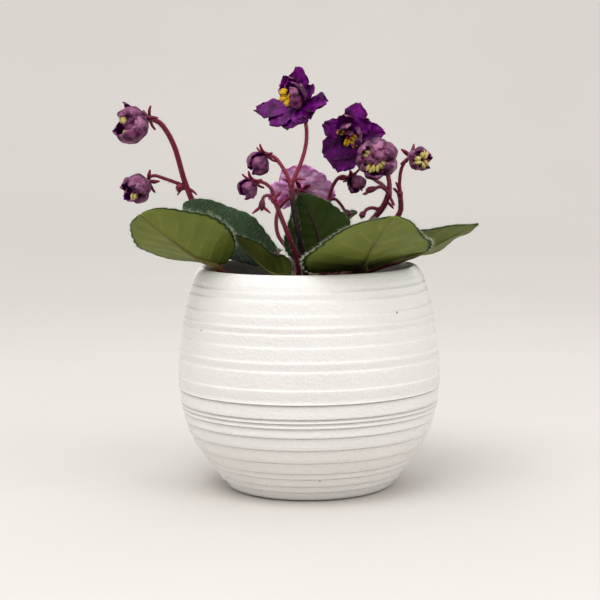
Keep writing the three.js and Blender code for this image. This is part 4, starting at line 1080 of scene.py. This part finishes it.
for bloom in BLOOMS:
    pink = bloom["name"] == "bloom_pink"
    rows = [*bloom["petals"], *CRESTS.get(bloom["name"], [])]
    parts = [petal_parts(bloom, petal, k) for k, petal in enumerate(rows)]
    finishes = [pink_face, pink_back] if pink else [purple_face, purple_back]
    flower = shape(bloom["name"] + "_petals", [*parts, heart_part(bloom)], finishes)
    fit(flower, "petal_pink" if pink else "petal_purple", bloom["name"])

# ---- stamens ----
# The middle of each flower: yellow anthers of two plump joined lobes on short crimson filaments,
# round a small green ovary with one slender style and some filaments that bear nothing. They all
# grow from the heart, and the anthers of a half-open flower are cream.

ANTHER_SIZE = [1.45, 0.6, 0.85]
LOBE_APART = 0.52
OVARY_SIZE = [1.05, 1.05, 0.65]
FILAMENT_RADIUS = 0.32
BARE_RADIUS = 0.24
BARE_COUNT = 6
CREAM_PLUMP = 1.3  # how much rounder a cream anther is
HALF_OPEN = ["bloom_right_front", "bloom_left_upper", "bloom_left_lower", "bud_far_right"]


def anther_parts(bloom):
    at, axis, _, _ = bloom_axes(bloom)
    seat = at + axis * (bloom["core"] + 0.8)
    parts = [knob(bloom, seat, OVARY_SIZE, 1)]
    cream = bloom["name"] in HALF_OPEN
    plump = CREAM_PLUMP if cream else 1
    for k in range(BARE_COUNT):
        # The first one is the style, which hardly leans.
        out = around(bloom, 40 + 63 * k) * (0.8 if k else 0.2)
        middle = seat + axis * 1.4 + out * 0.8
        tip = seat + axis * (2.4 + 0.3 * k) + out * (1.2 + 0.2 * k)
        parts.append(stem([seat, middle, tip], [BARE_RADIUS] * 2, 8, finish=2))
    for clock, lean, length in bloom["anthers"]:
        out = around(bloom, clock)
        tilt = math.radians(lean)
        aim = axis * math.cos(tilt) + out * math.sin(tilt)
        tip = at + axis * bloom["core"] * 0.6 + aim * length
        across = np.cross(axis, out)
        middle = (seat + tip) / 2 + axis * 0.15
        parts.append(stem([seat, middle, tip], [FILAMENT_RADIUS] * 2, 10, finish=2))
        axes = np.array([out, across, np.cross(out, across)])
        for side in (-1, 1):
            points, faces = lump(tip + across * side * LOBE_APART * plump, axes,
                                 np.multiply(ANTHER_SIZE, [1, plump, plump]), 12, 16, 0.12, length)
            parts.append((points, faces, 0, np.full((len(points), 4), float(cream))))
    return parts


anther_yellow = Finish("anther_yellow", Roughness=0.6, Subsurface_Weight=0.15,
                       Subsurface_Scale=0.001)
yellow = anther_yellow.mix(anther_yellow.noise(700, 4.0), "a87c10", "e8c81c")
cream = anther_yellow.mix(anther_yellow.noise(700, 4.0), "a08a4c", "dcd08a")
anther_yellow.set(Base_Color=anther_yellow.mix(anther_yellow.notes()[3], yellow, cream))
anther_yellow.bump(anther_yellow.noise(2500, 3.0), 0.0002)
ovary_green = Finish("ovary_green", Roughness=0.6).mottled(600, 3.0, "58603a", "8a8f5a")
filament_red = Finish("filament_red", Roughness=0.5).mottled(500, 3.0, "7a1438", "b03a5c")

for bloom in BLOOMS:
    if bloom["anthers"]:
        name = bloom["name"].replace("bloom", "stamens").replace("bud", "stamens")
        finishes = [anther_yellow, ovary_green, filament_red]
        fit(shape(name + "_anthers", anther_parts(bloom), finishes), "anther", name)

# ---- floor ----
# A plain pale sheet that the plant stands on, swept up in a wide curve behind it. It is matte and
# is no part of the object.

SWEEP_WIDTH = 3.0
SWEEP = [(-1.2, 0), (0.2, 0), (0.8, 0.0), (1.15, 0.08), (1.4, 0.33), (1.48, 0.68), (1.5, 1.5)]
SWEEP_STRIPS = 72
PAPER = "d2cec9"

paper = Finish("paper", Roughness=0.9, Specular_IOR_Level=0.2).mottled(6, 2.0, PAPER, "cdc9c4")
sweep = spline(SWEEP, np.linspace(0, 1, SWEEP_STRIPS + 1))
floor_mesh = bpy.data.meshes.new("floor")
floor_points = [(side * SWEEP_WIDTH / 2, y, z) for y, z in sweep for side in (-1, 1)]
strips = [(2 * k, 2 * k + 1, 2 * k + 3, 2 * k + 2) for k in range(SWEEP_STRIPS)]
floor_mesh.from_pydata(floor_points, [], strips)
floor_mesh.materials.append(paper.material)
floor_mesh.polygons.foreach_set("use_smooth", [True] * SWEEP_STRIPS)
floor = bpy.data.objects.new("floor", floor_mesh)
bpy.context.scene.collection.objects.link(floor)
floor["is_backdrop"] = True

# ---- light ----
# Soft daylight from all round, with a large soft lamp high in front on the left, a weaker one on
# the right to fill the shadows, and one above and behind.

LAMPS = [  # name, where it hangs, its size and its power
    ("key_lamp", (-0.3, -0.55, 1.2), 0.8, 7.0),
    ("fill_lamp", (0.8, -0.7, 1.0), 0.9, 3.2),
    ("back_lamp", (0.0, 0.6, 1.3), 1.4, 1.6),
]
AIM = (0, 0, 0.08)
DAYLIGHT = (0.99, 0.995, 1.0, 1)
DAYLIGHT_STRENGTH = 0.8

world = bpy.data.worlds.new("daylight")
world.use_nodes = True
world.node_tree.nodes["Background"].inputs[0].default_value = DAYLIGHT
world.node_tree.nodes["Background"].inputs[1].default_value = DAYLIGHT_STRENGTH
bpy.context.scene.world = world
for name, place, size, power in LAMPS:
    lamp = bpy.data.lights.new(name, "AREA")
    lamp.size = size
    lamp.energy = power
    lamp_object = bpy.data.objects.new(name, lamp)
    lamp_object.location = place
    lamp_object.rotation_euler = (Vector(AIM) - Vector(place)).to_track_quat("-Z", "Y").to_euler()
    bpy.context.scene.collection.objects.link(lamp_object)

# ---- camera ----
# The photograph's own view: a little above the rim, looking slightly down, from half a metre
# away, with the camera rolled by under a degree.

CAMERA_PLACE = (-0.0029, -0.554, 0.1264)
CAMERA_PITCH = 83.67
CAMERA_ROLL = -0.68
CAMERA_LENS = 96

camera_data = bpy.data.cameras.new("camera")
camera_data.lens = CAMERA_LENS
camera_data.sensor_width = 36
camera_data.clip_start = 0.01
camera = bpy.data.objects.new("camera", camera_data)
pitch = Matrix.Rotation(math.radians(CAMERA_PITCH), 4, "X")
roll = Matrix.Rotation(math.radians(CAMERA_ROLL), 4, "Z")
camera.matrix_world = Matrix.Translation(CAMERA_PLACE) @ pitch @ roll
bpy.context.scene.collection.objects.link(camera)
bpy.context.scene.camera = camera
bpy.context.scene.view_settings.view_transform = "Standard"
bpy.context.scene.view_settings.look = "Medium High Contrast"

size = {"cad": [list(corner) for corner in cad_box], "visual": [list(c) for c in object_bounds()]}
